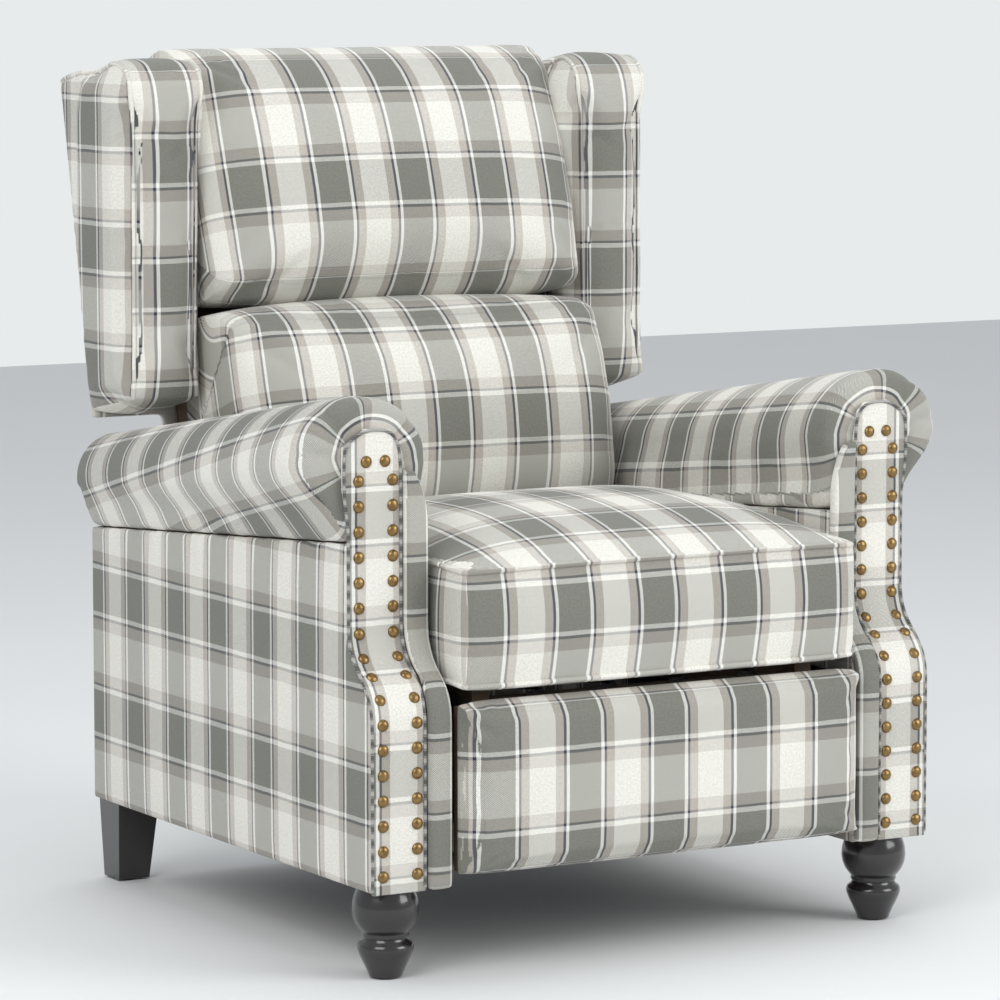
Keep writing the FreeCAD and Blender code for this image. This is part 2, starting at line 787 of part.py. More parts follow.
# Two rows of nailheads follow the edges of each strip, and two more close the rows at the top.
def nail_shapes(side):
    rim = float(size("nail_round"))
    head = dome(rim, float(size("nail_dome")))
    pitch = float(size("nail_pitch"))
    edge = float(size("nail_edge"))
    first = float(size("nail_first"))
    top = float(size("strip_top")) - float(size("strip_head")) * 0.5
    inner_row = float(strip_inner) + edge
    outer_row = float(arm_outer) - edge - 1.5
    middle = (inner_row + outer_row) / 2
    places = []
    height = first
    travelled = 0
    while height < top:
        places.append((inner_row, height))
        places.append((outer_row, height))
        # equal steps along the face, so the rows close up where the ogee slopes
        while travelled < pitch:
            step = 0.5
            travelled += step / math.cos(math.radians(strip_lean(height)))
            height += step
        travelled -= pitch
    cap_height = places[-1][1] + pitch * 0.75
    places.append((middle - pitch * 0.42, cap_height))
    places.append((middle + pitch * 0.42, cap_height))
    nails = []
    for across_there, up in places:
        nail = head.copy()
        facing = Rotation(Vector(1, 0, 0), 90 - strip_lean(up))
        spot = Vector(side * across_there, strip_depth(up), up)
        if (float(knee_low) + float(knee_high)) / 2 - rim < up < float(knee_high) + rim:
            # in the hollow of the ogee a nailhead rests on its rim
            spot += facing.multVec(Vector(0, 0, rim ** 2 / (2 * float(ogee_radius))))
        nail.Placement = Placement(spot, facing)
        nails.append(nail)
    return nails


# The puffed front beside the seat stands ahead of the strip along its whole height.
def make_wrap(name, side):
    proud = size("wrap_proud")
    top = size("wrap_top")
    face = ogee(-proud)
    back = ogee(strip_thick)
    outline = [(front - proud, arm_bottom)] + face + [(front - proud + knee_step, top)]
    outline += [(front + strip_thick + knee_step, top)]
    outline += [
        (back[2][0], back[2][1], -ogee_radius),
        (back[1][0], back[1][1], ogee_radius),
        (back[0][0], back[0][1]),
        (front + strip_thick, arm_bottom),
    ]
    width = strip_inner - fit - seat_half
    body = plate(f"{name}_front_wrap", outline, width)
    start = across(side, seat_half, strip_inner - fit)[0]
    place(body, x=start)
    limit = float(front)

    def is_front_side(edge):
        box = edge.BoundBox
        return box.XLength < 0.01 and box.YMax < limit - float(proud) + float(knee_step) + 0.1 \
            and box.ZLength > 5 and box.YMin < strip_depth(box.ZMin) - float(proud) + 0.5

    bevel_edges(body, size("wrap_round") * 0.7, is_front_side)


# Pieces that are the same on both sides of the chair and share one node
def pair(label, pieces):
    both = named(doc.addObject("Part::Compound", label), label)
    both.Links = pieces
    return both


arm_boards = []
nails = []
for side_name, side_sign in SIDES:
    arm_boards.append(make_arm(side_name, side_sign))
    nails += nail_shapes(side_sign)
pair("arm_boards", arm_boards)
free_form("nailheads", Part.makeCompound(nails))


# Base rails between the arms, corner blocks, the lower rear panel and the dust cover
def make_base():
    half = seat_half
    thick = size("cross_rail_thick")
    rail_top = core_bottom + size("base_rail_high")
    rail_front = front + size("front_rail_depth")
    rear_of_rail = arm_rear - size("rear_panel_thick") - fit
    depths = {
        "front": (rail_front, rail_front + thick),
        "rear": (rear_of_rail - thick, rear_of_rail),
    }
    pair("cross_rails", [
        block(f"{end}_cross_rail", (-half, half), depth, (core_bottom, rail_top), False)
        for end, depth in depths.items()
    ])
    lower_panel = block(
        "lower_rear_panel",
        (-half, half),
        (arm_rear - size("rear_panel_thick"), arm_rear),
        (arm_bottom, size("rear_panel_high")),
        False,
    )
    ends = [lower_panel]
    for name, side in SIDES:
        ends.append(block(
            f"{name}_arm_rear",
            across(side, core_inner, core_outer),
            (arm_rear - size("side_thick"), arm_rear),
            (arm_bottom, seam_height(arm_rear) - fit),
            False,
        ))
    pair("rear_panels", ends)
    leg = float(size("corner_block"))
    blocks = []
    for side in (-1, 1):
        for corner_depth, towards in ((rail_front + thick, 1), (rear_of_rail - thick, -1)):
            corner = Vector(side * float(half), float(corner_depth), float(core_bottom))
            points = [corner, corner + Vector(-side * leg, 0, 0), corner + Vector(0, towards * leg, 0)]
            face = Part.Face(Part.makePolygon(points + points[:1]))
            blocks.append(face.extrude(Vector(0, 0, float(thick) * 1.4)))
    free_form("corner_blocks", Part.makeCompound(blocks))
    block(
        "dust_cover",
        (-half, half),
        (rail_front, rear_of_rail),
        (core_bottom - size("dust_thick"), core_bottom),
    )


make_base()


# Front leg: a turned foot, cup, neck and bun, revolved about its own axis
def make_front_leg(name, side):
    sole = float(size("glide_thick"))
    top = float(arm_bottom - fit)
    cup_high = float(size("cup_high"))
    neck_high = float(size("neck_high"))
    bun_high = float(size("bun_high"))
    foot = float(size("foot_round"))
    cup = float(size("cup_round"))
    waist = float(size("neck_round"))
    bun = float(size("bun_round"))
    rings = [
        (foot, sole),
        (foot + (cup - foot) * 0.7, sole + (cup_high - sole) * 0.55),
        (cup, cup_high),
        (waist + 1, cup_high + (neck_high - cup_high) * 0.6),
        (waist, neck_high),
        (waist + (bun - waist) * 0.72, neck_high + (bun_high - neck_high) * 0.42),
        (bun, bun_high - (bun_high - neck_high) * 0.2),
        (bun, bun_high + (top - bun_high) * 0.2),
        (float(size("leg_top_round")), top),
    ]
    sides = int(float(size("turned_sides")))
    turns = [2 * math.pi * (index + 0.5) / sides for index in range(sides)]
    wires = []
    for ring, up in rings:
        corners = [Vector(ring * math.cos(turn), ring * math.sin(turn), up) for turn in turns]
        wires.append(Part.makePolygon(corners + corners[:1]))
    hole_deep = float(size("bolt_sink") + fit)
    hole = Part.makeCylinder(float(size("bolt_round") + fit), hole_deep, Vector(0, 0, top - hole_deep))
    leg = loft(wires).cut(hole)
    free_form(f"{name}_front_leg", leg, x=leg_side * side, y=front + size("front_leg_depth"))


# Rear leg: square, tapered and raked to the rear
def make_rear_leg(name, side):
    foot = float(size("rear_leg_foot"))
    head = float(size("rear_leg_head"))
    rake = float(size("rear_leg_rake"))
    inner = float(rear_leg_inner)
    sole = float(size("glide_thick"))
    top = float(arm_bottom - fit)
    depth = float(rear_leg_depth) - head / 2

    def square(width, offset, up):
        near = side * inner
        far = side * (inner + width)
        corners = [
            Vector(near, depth + offset, up),
            Vector(far, depth + offset, up),
            Vector(far, depth + offset + width, up),
            Vector(near, depth + offset + width, up),
        ]
        return Part.makePolygon(corners + corners[:1])

    taper = (head - foot) / 2
    leg = loft([square(foot, rake + taper, sole), square(head, 0, top)])
    sink = float(size("bolt_sink") + fit)
    bore_at = Vector(side * (inner + head / 2), depth + head / 2, top - sink)
    bore = Part.makeCylinder(float(size("bolt_round") + fit), 2 * sink, bore_at)
    free_form(f"{name}_rear_leg", leg.cut(bore))


# Where each leg stands: its middle at the floor and at its top
def leg_spots():
    spots = []
    foot = float(size("rear_leg_foot"))
    head = float(size("rear_leg_head"))
    rear_depth = float(rear_leg_depth)
    for side in (-1, 1):
        leg_x = side * float(leg_side)
        leg_y = float(front + size("front_leg_depth"))
        spots.append((Vector(leg_x, leg_y, 0), Vector(leg_x, leg_y, 0)))
        inner = float(rear_leg_inner)
        foot_middle = Vector(side * (inner + foot / 2), rear_depth + float(size("rear_leg_rake")), 0)
        head_middle = Vector(side * (inner + head / 2), rear_depth, 0)
        spots.append((foot_middle, head_middle))
    return spots


def make_leg_hardware():
    glides = []
    bolts = []
    sink = float(size("bolt_sink"))
    seat = float(arm_bottom - fit) - sink
    for foot, head in leg_spots():
        glides.append(Part.makeCylinder(float(size("glide_round")), float(size("glide_thick")), foot))
        start = head + Vector(0, 0, seat)
        bolts.append(Part.makeCylinder(float(size("bolt_round")), sink + float(size("bolt_rise")), start))
    free_form("leg_glides", Part.makeCompound(glides))
    free_form("leg_bolts", Part.makeCompound(bolts))


for side_name, side_sign in SIDES:
    make_front_leg(side_name, side_sign)
    make_rear_leg(side_name, side_sign)
make_leg_hardware()


# Seat: frame, springs and the box cushion with its crown
def make_seat_frame():
    half = frame_half
    thick = size("frame_thick")
    low = size("frame_bottom")
    top = size("cushion_bottom") - fit
    front_y = front + size("frame_front")
    rear_y = cushion_rear
    pieces = []
    for name, side in SIDES:
        span = across(side, half - thick, half)
        pieces.append(block(f"seat_frame_{name}", span, (front_y, rear_y), (low, top), False))
    inside = (-(half - thick), half - thick)
    lowered = top - size("spring_drop")
    pieces.append(block("seat_frame_front", inside, (front_y, front_y + thick), (low, lowered), False))
    pieces.append(block("seat_frame_rear", inside, (rear_y - thick, rear_y), (low, lowered), False))
    fused("seat_frame", pieces)


# A sinuous spring lies flat from the front rail to the rear rail. Each turn is bent in four short
# straight lengths, and the wire is as thick as it is wide.
def spring_line(across_there):
    swing = float(size("spring_swing"))
    start = float(front + size("frame_front")) + float(size("frame_thick")) / 3
    end = float(cushion_rear) - float(size("frame_thick")) / 3
    turns = int(float(size("spring_turns")))
    radius = (end - start) / (2 * turns)
    points = [Vector(across_there, start, 0)]
    for index in range(turns):
        direction = 1 if index % 2 == 0 else -1
        centre = Vector(across_there + direction * (swing - radius), points[-1].y + radius, 0)
        for step in range(5):
            angle = math.radians(-90 + 45 * step)
            out = Vector(direction * math.cos(angle) * radius, math.sin(angle) * radius, 0)
            points.append(centre + out)
        points.append(Vector(across_there, points[-1].y, 0))
    return [point for index, point in enumerate(points) if index == 0
            or point.distanceToPoint(points[index - 1]) > 1e-6]


def without_straight_points(points):
    kept = [points[0]]
    for before, here, after in zip(points, points[1:], points[2:]):
        if abs((here - before).normalize().cross((after - here).normalize()).z) > 1e-6:
            kept.append(here)
    return kept + [points[-1]]


# The outline of a bent strip: the line moved to each side, with mitred corners
def strip_outline(points, half_width):
    sides = []
    for sign in (1, -1):
        side_points = []
        for index, point in enumerate(points):
            before = (point - points[index - 1]).normalize() if index > 0 else None
            after = (points[index + 1] - point).normalize() if index < len(points) - 1 else None
            before = before or after
            after = after or before
            normal = Vector(-before.y - after.y, before.x + after.x, 0).normalize()
            mitre = normal.dot(Vector(-before.y, before.x, 0))
            side_points.append(point + normal * (sign * half_width / mitre))
        sides.append(side_points)
    return sides[0] + sides[1][::-1]


def spring_shape(across_there):
    wire = float(size("spring_wire"))
    low = float(size("cushion_bottom") - fit - size("spring_drop"))
    outline = strip_outline(without_straight_points(spring_line(across_there)), wire)
    corners = [point + Vector(0, 0, low) for point in outline]
    return Part.Face(Part.makePolygon(corners + corners[:1])).extrude(Vector(0, 0, 2 * wire))


def make_seat_springs():
    spacing = float(size("spring_spacing"))
    count = int(float(size("spring_count")))
    springs = [spring_shape((index - (count - 1) / 2) * spacing) for index in range(count)]
    free_form("seat_springs", Part.makeCompound(springs))


# Stations across a cushion from one end to the other, closer together where the end draws in
STATIONS = (-1, -0.985, -0.95, -0.87, -0.7, -0.45, 0, 0.45, 0.7, 0.87, 0.95, 0.985, 1)


def fullness(share):
    return 1 - abs(share) ** 4


def drawing_in(share):
    return abs(share) ** 24


def cushion_section(across_there, crown, draw):
    front_y = float(front + size("cushion_front")) + draw
    rear_y = float(cushion_rear) - draw
    low = float(size("cushion_bottom")) + draw * 0.5
    edge = float(size("cushion_edge")) - draw * 0.5
    bulge = float(size("cushion_bulge"))
    curl = float(size("cushion_roll"))
    return section([
        (Vector(across_there, front_y, low + curl), curl * 0.25),
        (Vector(across_there, front_y + curl, low), None),
        (Vector(across_there, rear_y, low), None),
        (Vector(across_there, rear_y, edge), crown),
        (Vector(across_there, front_y, edge), bulge),
    ])


def make_cushion():
    half = float(seat_half - size("cushion_gap"))
    crown = float(size("cushion_crown"))
    draw = float(size("cushion_draw"))
    sections = [
        cushion_section(half * share, crown * (0.35 + 0.65 * fullness(share)), draw * drawing_in(share))
        for share in STATIONS
    ]
    free_form("seat_cushion", loft(sections))


make_seat_frame()
make_seat_springs()
make_cushion()


# Footrest linkage. Each side is a rhombus of links that opens along one line: a rear link hinged on
# the seat side plate, a cross link over its middle, and a front link and a short link that complete
# the rhombus. A place on the linkage is worked out for the folded position.
line_angle = size("line_angle")
fold_angle = size("fold_angle")
link_length = size("link_length")
pivot = (front + size("pivot_depth"), size("pivot_high"))
down_link = line_angle - fold_angle
up_link = line_angle + fold_angle


def along(start, angle, distance):
    return (start[0] - cosine(angle) * distance, start[1] + sine(angle) * distance)


rear_middle = along(pivot, down_link, link_length / 2)
elbow = along(pivot, down_link, link_length)
slot_start = along(rear_middle, up_link, -(link_length / 2))
cross_top = along(rear_middle, up_link, link_length / 2)
front_middle = along(elbow, up_link, link_length / 2)
footrest_pivot = along(elbow, up_link, link_length)

steel = size("steel_thick")
layer = steel + size("layer_gap")
plate_layer = (plate_outer - steel, plate_outer)
first_layer = (plate_layer[0] - layer, plate_layer[1] - layer)
second_layer = (first_layer[0] - layer, first_layer[1] - layer)
third_layer = (second_layer[0] - layer, second_layer[1] - layer)
rivet_hole = size("pin_round") + size("pin_fit")
rivet_length = size("layer_gap") + steel + size("pin_end")


# A flat link with round ends, drawn along its own length and then turned into place. Rivets are
# given by their distance along the link, holes too.
def make_link(label, side, start, angle, length, span, holes, rivets):
    half = size("link_half")
    zero = Size(0, "0")
    outline = [
        (zero, -half),
        (length, -half, half * 1.0001),
        (length, half),
        (zero, half, half * 1.0001),
    ]
    hole_list = [(spot, zero, rivet_hole) for spot in holes]
    body = plate(label, outline, steel, hole_list)
    span_here = across(side, *span)
    for number, (spot, reach) in enumerate(rivets):
        # rivets stand on the outer face of the link
        is_left = side < 0
        rivet = reach if is_left else reach + steel
        stud(body, f"rivet_{number}", spot, zero, size("pin_round"), rivet, is_left)
    place(body, x=span_here[0], y=start[0], z=start[1], turn=180 - angle)
    return body


def make_side_plate(name, side):
    margin = size("link_half") + 3
    top = pivot[1] + margin
    tongue_front = slot_start[0] - margin
    plate_front = front + size("frame_front") + size("frame_thick") * 2
    tongue_rear = pivot[0] + margin * 2
    rear = cushion_rear
    low = size("rail_low") - 5
    tongue_low = slot_start[1] - size("link_half")
    outline = [
        (plate_front, top),
        (plate_front, pivot[1] - margin * 2),
        (tongue_front, pivot[1] - margin * 4),
        (tongue_front, tongue_low),
        (tongue_rear, tongue_low),
        (tongue_rear, low),
        (rear, low),
        (rear, top),
    ]
    upright = plate(f"{name}_upright", outline, steel, is_sub_part=False)
    span = across(side, *plate_layer)
    place(upright, x=span[0])
    flange_span = across(side, frame_half - size("frame_thick"), plate_layer[1])
    flange = block(
        f"{name}_flange",
        flange_span,
        (tongue_rear + margin * 2, cushion_rear),
        (size("frame_bottom") - steel, size("frame_bottom")),
        False,
    )
    # The slot that guides the cross link runs square to the opening line.
    slot_half = size("pin_round") + size("slot_fit")
    travel = link_length * (sine(fold_angle) - sine(size("open_angle")))
    zero = Size(0, "0")
    extra = size("slot_fit")
    slot = plate(
        f"{name}_slot",
        [
            (-extra, -slot_half),
            (travel + extra, -slot_half, slot_half * 1.0001),
            (travel + extra, slot_half),
            (-extra, slot_half, slot_half * 1.0001),
        ],
        steel * 3,
        is_sub_part=False,
    )
    place(slot, x=span[0] - steel, y=slot_start[0], z=slot_start[1], turn=90 - line_angle)
    blank = fused(f"{name}_plate_blank", [upright, flange], False)
    cut = named(doc.addObject("Part::Cut", f"{name}_seat_side_plate"), f"{name}_seat_side_plate")
    cut.Base = blank
    cut.Tool = slot


# A pivot stud is welded to the inner face of each plate and carries the rear link.
def make_pivot_stud(name, side):
    rod = doc.addObject("Part::Cylinder", f"{name}_pivot_stud")
    rod.Placement = Placement(Vector(), Rotation(Vector(0, 1, 0), 90))
    bind(rod, "Radius", size("pin_round"))
    bind(rod, "Height", rivet_length)
    bind(rod, "Placement.Base.x", -plate_layer[0] if side < 0 else plate_layer[0] - rivet_length)
    bind(rod, "Placement.Base.y", pivot[0])
    bind(rod, "Placement.Base.z", pivot[1])
    return rod


def make_glide(name, side):
    play = size("glide_play")
    low = size("rail_low")
    skin = size("rail_skin")
    inside = size("rail_inside")
    outer = seat_half
    inner = plate_outer + steel
    span_web = across(side, outer - skin, outer)
    span_flange = across(side, inner, outer - skin)
    first_block = front + size("glide_first")
    last_block = cushion_rear - size("rail_spare") - size("glide_block")
    depth = (first_block - size("glide_travel") - size("rail_spare"), cushion_rear)
    pieces = [
        block(f"{name}_rail_web", span_web, depth, (low - skin, low + inside + skin), False),
        block(f"{name}_rail_under", span_flange, depth, (low - skin, low), False),
        block(f"{name}_rail_over", span_flange, depth, (low + inside, low + inside + skin), False),
    ]
    fused(f"{name}_glide_rail", pieces)
    blocks = []
    for end_name, start in (("front", first_block), ("rear", last_block)):
        blocks.append(block(
            f"{name}_{end_name}_glide",
            across(side, plate_outer, outer - skin - play),
            (start, start + size("glide_block")),
            (low + play, low + inside - play),
            False,
        ))
    return blocks


def make_linkage(name, side):
    make_side_plate(name, side)
    half_link = link_length / 2
    zero = Size(0, "0")
    through_one = rivet_length
    through_slot = layer + rivet_length
    make_link(f"{name}_rear_link", side, pivot, down_link, link_length, first_layer,
              [zero, half_link, link_length], [])
    make_link(f"{name}_cross_link", side, slot_start, up_link, link_length, second_layer,
              [], [(zero, through_slot), (half_link, through_one), (link_length, through_one)])
    make_link(f"{name}_front_link", side, elbow, up_link, link_length, second_layer,
              [link_length], [(zero, through_one), (half_link, through_one)])
    make_link(f"{name}_short_link", side, cross_top, down_link, half_link, first_layer,
              [zero, half_link], [])


glide_blocks = []
for side_name, side_sign in SIDES:
    make_linkage(side_name, side_sign)
    glide_blocks += make_glide(side_name, side_sign)
pair("glide_blocks", glide_blocks)
pair("pivot_studs", [make_pivot_stud(side_name, side_sign) for side_name, side_sign in SIDES])


# The cross tube joins the two front links at their elbows.
def make_cross_tube():
    length = second_layer[0] * 2
    outer_tube = doc.addObject("Part::Cylinder", "tube_outer")
    inner_tube = doc.addObject("Part::Cylinder", "tube_inner")
    for tube, radius in ((outer_tube, size("tube_round")), (inner_tube, size("tube_bore"))):
        tube.Placement = Placement(Vector(), Rotation(Vector(0, 1, 0), 90))
        bind(tube, "Radius", radius)
        bind(tube, "Height", length)
        bind(tube, "Placement.Base.x", -second_layer[0])
        bind(tube, "Placement.Base.y", elbow[0])
        bind(tube, "Placement.Base.z", elbow[1])
    cut = named(doc.addObject("Part::Cut", "cross_tube"), "cross_tube")
    cut.Base = outer_tube
    cut.Tool = inner_tube


# Footrest: a plywood board, its pad, and a steel bracket on each side
def make_footrest():
    board_back = front + size("board_thick")
    half = seat_half - size("board_gap")
    inset = size("board_inset")
    block(
        "footrest_board",
        (-(half - inset), half - inset),
        (front, board_back),
        (size("board_bottom") + inset, size("board_top") - inset),
    )
    low = float(size("board_bottom"))
    top = float(size("board_top"))
    face = float(front - size("footrest_proud"))
    back = float(front - fit)
    crown = float(size("pad_crown"))
    soft = float(inset)

    def pad_section(across_there, draw):
        return section([
            (Vector(across_there, back, low + draw), None),
            (Vector(across_there, back, top - draw), None),
            (Vector(across_there, face + crown + soft, top - draw), soft * 0.25),
            (Vector(across_there, face + crown + draw, top - draw - soft), crown - draw * 0.2),
            (Vector(across_there, face + crown + draw, low + draw + soft), soft * 0.25),
            (Vector(across_there, face + crown + soft, low + draw), None),
        ][::-1])

    sections = [pad_section(float(half) * share, soft * 0.6 * drawing_in(share)) for share in STATIONS]
    free_form("footrest_pad", loft(sections))


def make_footrest_bracket(name, side):
    board_back = front + size("board_thick")
    half = size("link_half")
    inner = third_layer
    top = footrest_pivot[1] + half
    low = footrest_pivot[1] - size("bracket_reach")
    zero = Size(0, "0")
    outline = [
        (board_back, low),
        (board_back + half, low),
        (footrest_pivot[0] - half * 2, footrest_pivot[1] - half * 1.6),
        (footrest_pivot[0], footrest_pivot[1] - half, half * 1.0001),
        (footrest_pivot[0], top),
        (board_back, top),
    ]
    web = plate(f"{name}_bracket_web", outline, steel, is_sub_part=False)
    span = across(side, *inner)
    place(web, x=span[0])
    is_left = side < 0
    reach = rivet_length if is_left else rivet_length + steel
    stud(web, "footrest_stud", footrest_pivot[0], footrest_pivot[1], size("pin_round"), reach, is_left)
    flange = block(
        f"{name}_bracket_flange",
        across(side, inner[1] - size("bracket_wide"), inner[1]),
        (board_back, board_back + steel),
        (low, top - steel),
        False,
    )
    fused(f"{name}_footrest_bracket", [web, flange])


make_cross_tube()
make_footrest()
for side_name, side_sign in SIDES:
    make_footrest_bracket(side_name, side_sign)


# Back. Its pieces are drawn upright about the hinge and then leaned together: "out" is the distance
# behind the hinge line and "rise" the distance up the back.
panel_front = panel_rear - size("panel_thick")
frame_rear = panel_front - fit
frame_front = frame_rear - size("post_thick")


def on_back(thing, x=0):
    return place(thing, x=x, y=hinge_depth, z=hinge_high, turn=-lean)


def make_back_frame():
    half = post_half
    wide = size("post_wide")
    depth = (frame_front, frame_rear)
    pieces = []
    for name, side in SIDES:
        span = across(side, half - wide, half)
        pieces.append(block(f"back_post_{name}", span, depth, (-size("post_drop"), size("post_top")), False))
        batten = across(side, half, wing_inner - fit)
        pieces.append(block(f"wing_batten_{name}", batten, depth,
                            (size("wing_bottom") + size("batten_lift"), size("post_top")), False))
    inside = (-(half - wide), half - wide)
    rail = size("back_rail")
    for rail_name, low in (("bottom", rail / 2), ("middle", size("crease_rise") - rail / 2),
                           ("top", size("post_top") - rail)):
        pieces.append(block(f"back_rail_{rail_name}", inside, depth, (low, low + rail), False))
    on_back(fused("back_frame", pieces))


def make_webbing():
    half = float(post_half - size("web_inset"))
    thick = float(size("web_thick"))
    wide = float(size("web_wide"))
    depth = float(frame_front) - thick
    rail = float(size("back_rail"))
    middle = float(size("crease_rise"))
    straps = []
    for low, high, count in (
        (rail * 1.5, middle - rail / 2, size("lower_webs")),
        (middle + rail / 2, float(size("post_top")) - rail, size("upper_webs")),
    ):
        pitch = (high - low) / float(count)
        for index in range(int(float(count))):
            start = low + pitch * (index + 0.5) - wide / 2
            straps.append(Part.makeBox(2 * half, thick, wide, Vector(-half, depth, start)))
    on_back(free_form("back_webbing", Part.makeCompound(straps)))


# The outside back is wide behind the wings and narrow between the arms.
def make_outside_back():
    body = new_body("outside_back_panel")
    sketch = new_sketch(body, "outside_back_outline", "XZ_Plane")
    wide = wing_outer
    narrow = wing_inner
    corner = size("panel_corner")
    top = size("panel_rise")
    shoulder = size("wing_bottom")
    low = -size("panel_drop")
    sketch_outline(sketch, [
        (-narrow, low),
        (narrow, low),
        (narrow, shoulder),
        (wide, shoulder),
        (wide, top - corner, corner * 1.0001),
        (wide - corner, top),
        (-(wide - corner), top, corner * 1.0001),
        (-wide, top - corner),
        (-wide, shoulder),
        (-narrow, shoulder),
    ])
    pad(body, sketch, size("panel_thick"))
    # the sketch faces -Y, so its own offset is negative to the rear
    sketch.setExpression("AttachmentOffset.Base.z", (-panel_rear).text)
    on_back(body)


def make_wing(name, side):
    bottom = size("wing_bottom")
    top = size("wing_top")
    rear = panel_front - fit
    outline = [
        (rear, bottom),
        (rear, top),
        (-size("wing_head"), top),
        (-size("wing_foot"), bottom),
    ]
    body = plate(f"{name}_wing", outline, wing_outer - wing_inner)
    head = float(size("wing_head"))
    middle_rise = float(bottom + top) / 2

    def is_nose(edge):
        return runs_along_x(edge) and edge.Vertexes[0].Point.y < -head + 1

    def is_heel(edge):
        return runs_along_x(edge) and not edge.Vertexes[0].Point.y < -head + 1 \
            and edge.Curve.TypeId == "Part::GeomLine" and (
                edge.Vertexes[0].Point.z < middle_rise or edge.Vertexes[0].Point.y > 0) \
            and len(edge.Vertexes) == 2

    def is_rim(edge):
        box = edge.BoundBox
        return box.XLength < 0.01 and box.YMin < float(rear) - 0.01

    nose = round_edges(body, size("wing_nose"), is_nose)
    nose.Label = f"{name}_wing_nose"
    heel = round_edges(body, size("wing_heel"), lambda edge: is_heel(edge) and is_sharp(edge, body))
    heel.Label = f"{name}_wing_heel"
    bevel_edges(body, size("wing_round") * 0.7, is_rim)
    on_back(body, x=across(side, wing_inner, wing_outer)[0])


# An edge is sharp where its two faces meet at an angle, and not where a rounding runs out.
def is_sharp(edge, body):
    faces = body.Tip.Shape.ancestorsOfType(edge, Part.Face)
    if len(faces) != 2:
        return False
    spot = edge.valueAt((edge.FirstParameter + edge.LastParameter) / 2)
    normals = [face.normalAt(*face.Surface.parameter(spot)) for face in faces]
    return abs(normals[0].dot(normals[1])) < 0.98


# A bolster is lofted across the chair from sections that draw in towards its ends and swell in
# the middle. Each corner has its place, the bulge of the run after it and its share of both.
def bolster(label, corners, half):
    draw = float(size("bolster_draw"))
    swell = float(size("bolster_swell"))
    sections = []
    for share in STATIONS:
        inset = draw * drawing_in(share) - swell * fullness(share)
        points = []
        for out, rise, bulge, moves in corners:
            points.append((Vector(half * share, out + inset * moves, rise), bulge))
        sections.append(section(points))
    return on_back(free_form(label, loft(sections)))


def make_bolsters():
    half = float(wing_inner - size("bolster_gap"))
    back = float(frame_front) - float(size("web_thick")) - float(fit)
    gap = float(size("crease_gap")) / 2
    crease = float(size("crease_rise"))
    crease_out = -float(size("crease_depth"))
    round_up = float(size("upper_round"))
    crest = float(size("crest_rise"))
    shoulder = crest - float(size("crest_shoulder"))
    head = -float(size("upper_head"))
    over_post = float(size("post_top") + fit)
    cap_rear = float(frame_rear)
    bottom = float(size("lower_bottom"))
    lumbar = float(size("lumbar_rise"))
    lower_head = -float(size("lower_head"))
    lower_foot = -float(size("lower_foot"))
    bolster("upper_bolster", [
        (back, crease + gap, None, 0),
        (crease_out, crease + gap, 8, 0),
        (-float(size("upper_front")), crease + round_up, 10, 1),
        (head, shoulder, 9, 1),
        ((cap_rear + head) / 2, crest - float(size("crest_peak")), 6, 0.4),
        (cap_rear, crest - float(size("crest_fall")), None, 0),
        (cap_rear, over_post, None, 0),
        (back, over_post, None, 0),
    ], half)
    bolster("lower_bolster", [
        (back, bottom, None, 0),
        (crease_out, bottom, 8, 0),
        (lower_head, (lumbar + bottom) / 2, 5, 1),
        (lower_foot, lumbar, 9, 1),
        (lower_head, crease - round_up, 8, 1),
        (crease_out, crease - gap, None, 0),
        (back, crease - gap, None, 0),
    ], half)


# Back brackets ride on the posts, and the hinge plates with their studs on the arms.
def make_back_hinge(name, side):
    thick = size("bracket_thick")
    zero = Size(0, "0")
    half_wide = size("post_thick") / 2 - 4
    hole = size("hinge_round") + size("pin_fit")
    bracket = plate(
        f"{name}_back_bracket",
        [
            (-half_wide, -half_wide),
            (half_wide, -half_wide),
            (half_wide, half_wide * 6),
            (-half_wide, half_wide * 6),
        ],
        thick,
        [(zero, zero, hole)],
    )
    on_back(bracket, x=across(side, post_half, post_half + thick)[0])
    round_edges(bracket, half_wide / 2, runs_along_x_outer)
    plate_half = size("post_thick")
    hinge = plate(
        f"{name}_hinge_plate",
        [
            (-plate_half, -plate_half),
            (plate_half / 1.6, -plate_half),
            (plate_half / 1.6, plate_half),
            (-plate_half, plate_half),
        ],
        thick,
        is_sub_part=False,
    )
    reach = seat_half - thick - post_half - fit
    is_right = side > 0
    stud_length = reach if is_right else reach + thick
    stud(hinge, "hinge_stud", zero, zero, size("hinge_round"), stud_length, is_right)
    span = across(side, seat_half - thick, seat_half)
    place(hinge, x=span[0], y=hinge_depth, z=hinge_high)
    return hinge


def runs_along_x_outer(edge):
    return runs_along_x(edge) and edge.Curve.TypeId == "Part::GeomLine" \
        and abs(edge.Vertexes[0].Point.y) > 10


make_back_frame()
make_webbing()
make_outside_back()
hinge_plates = []
for side_name, side_sign in SIDES:
    make_wing(side_name, side_sign)
    hinge_plates.append(make_back_hinge(side_name, side_sign))
pair("hinge_plates", hinge_plates)
make_bolsters()

doc.recompute()

# Nothing is written unless the whole document is sound.
for thing in doc.Objects:
    if "Invalid" in thing.State or "Error" in thing.State:
        raise RuntimeError(f"{thing.Label} did not compute: {thing.State}")
labels = [thing.Label for thing in sub_parts]
if len(set(labels)) != len(labels):
    raise RuntimeError("two sub-parts share a name")
for thing in sub_parts:
    if thing.Shape.isNull() or not thing.Shape.isValid() or not thing.Shape.Solids:
        raise RuntimeError(f"{thing.Label} is not a valid solid")

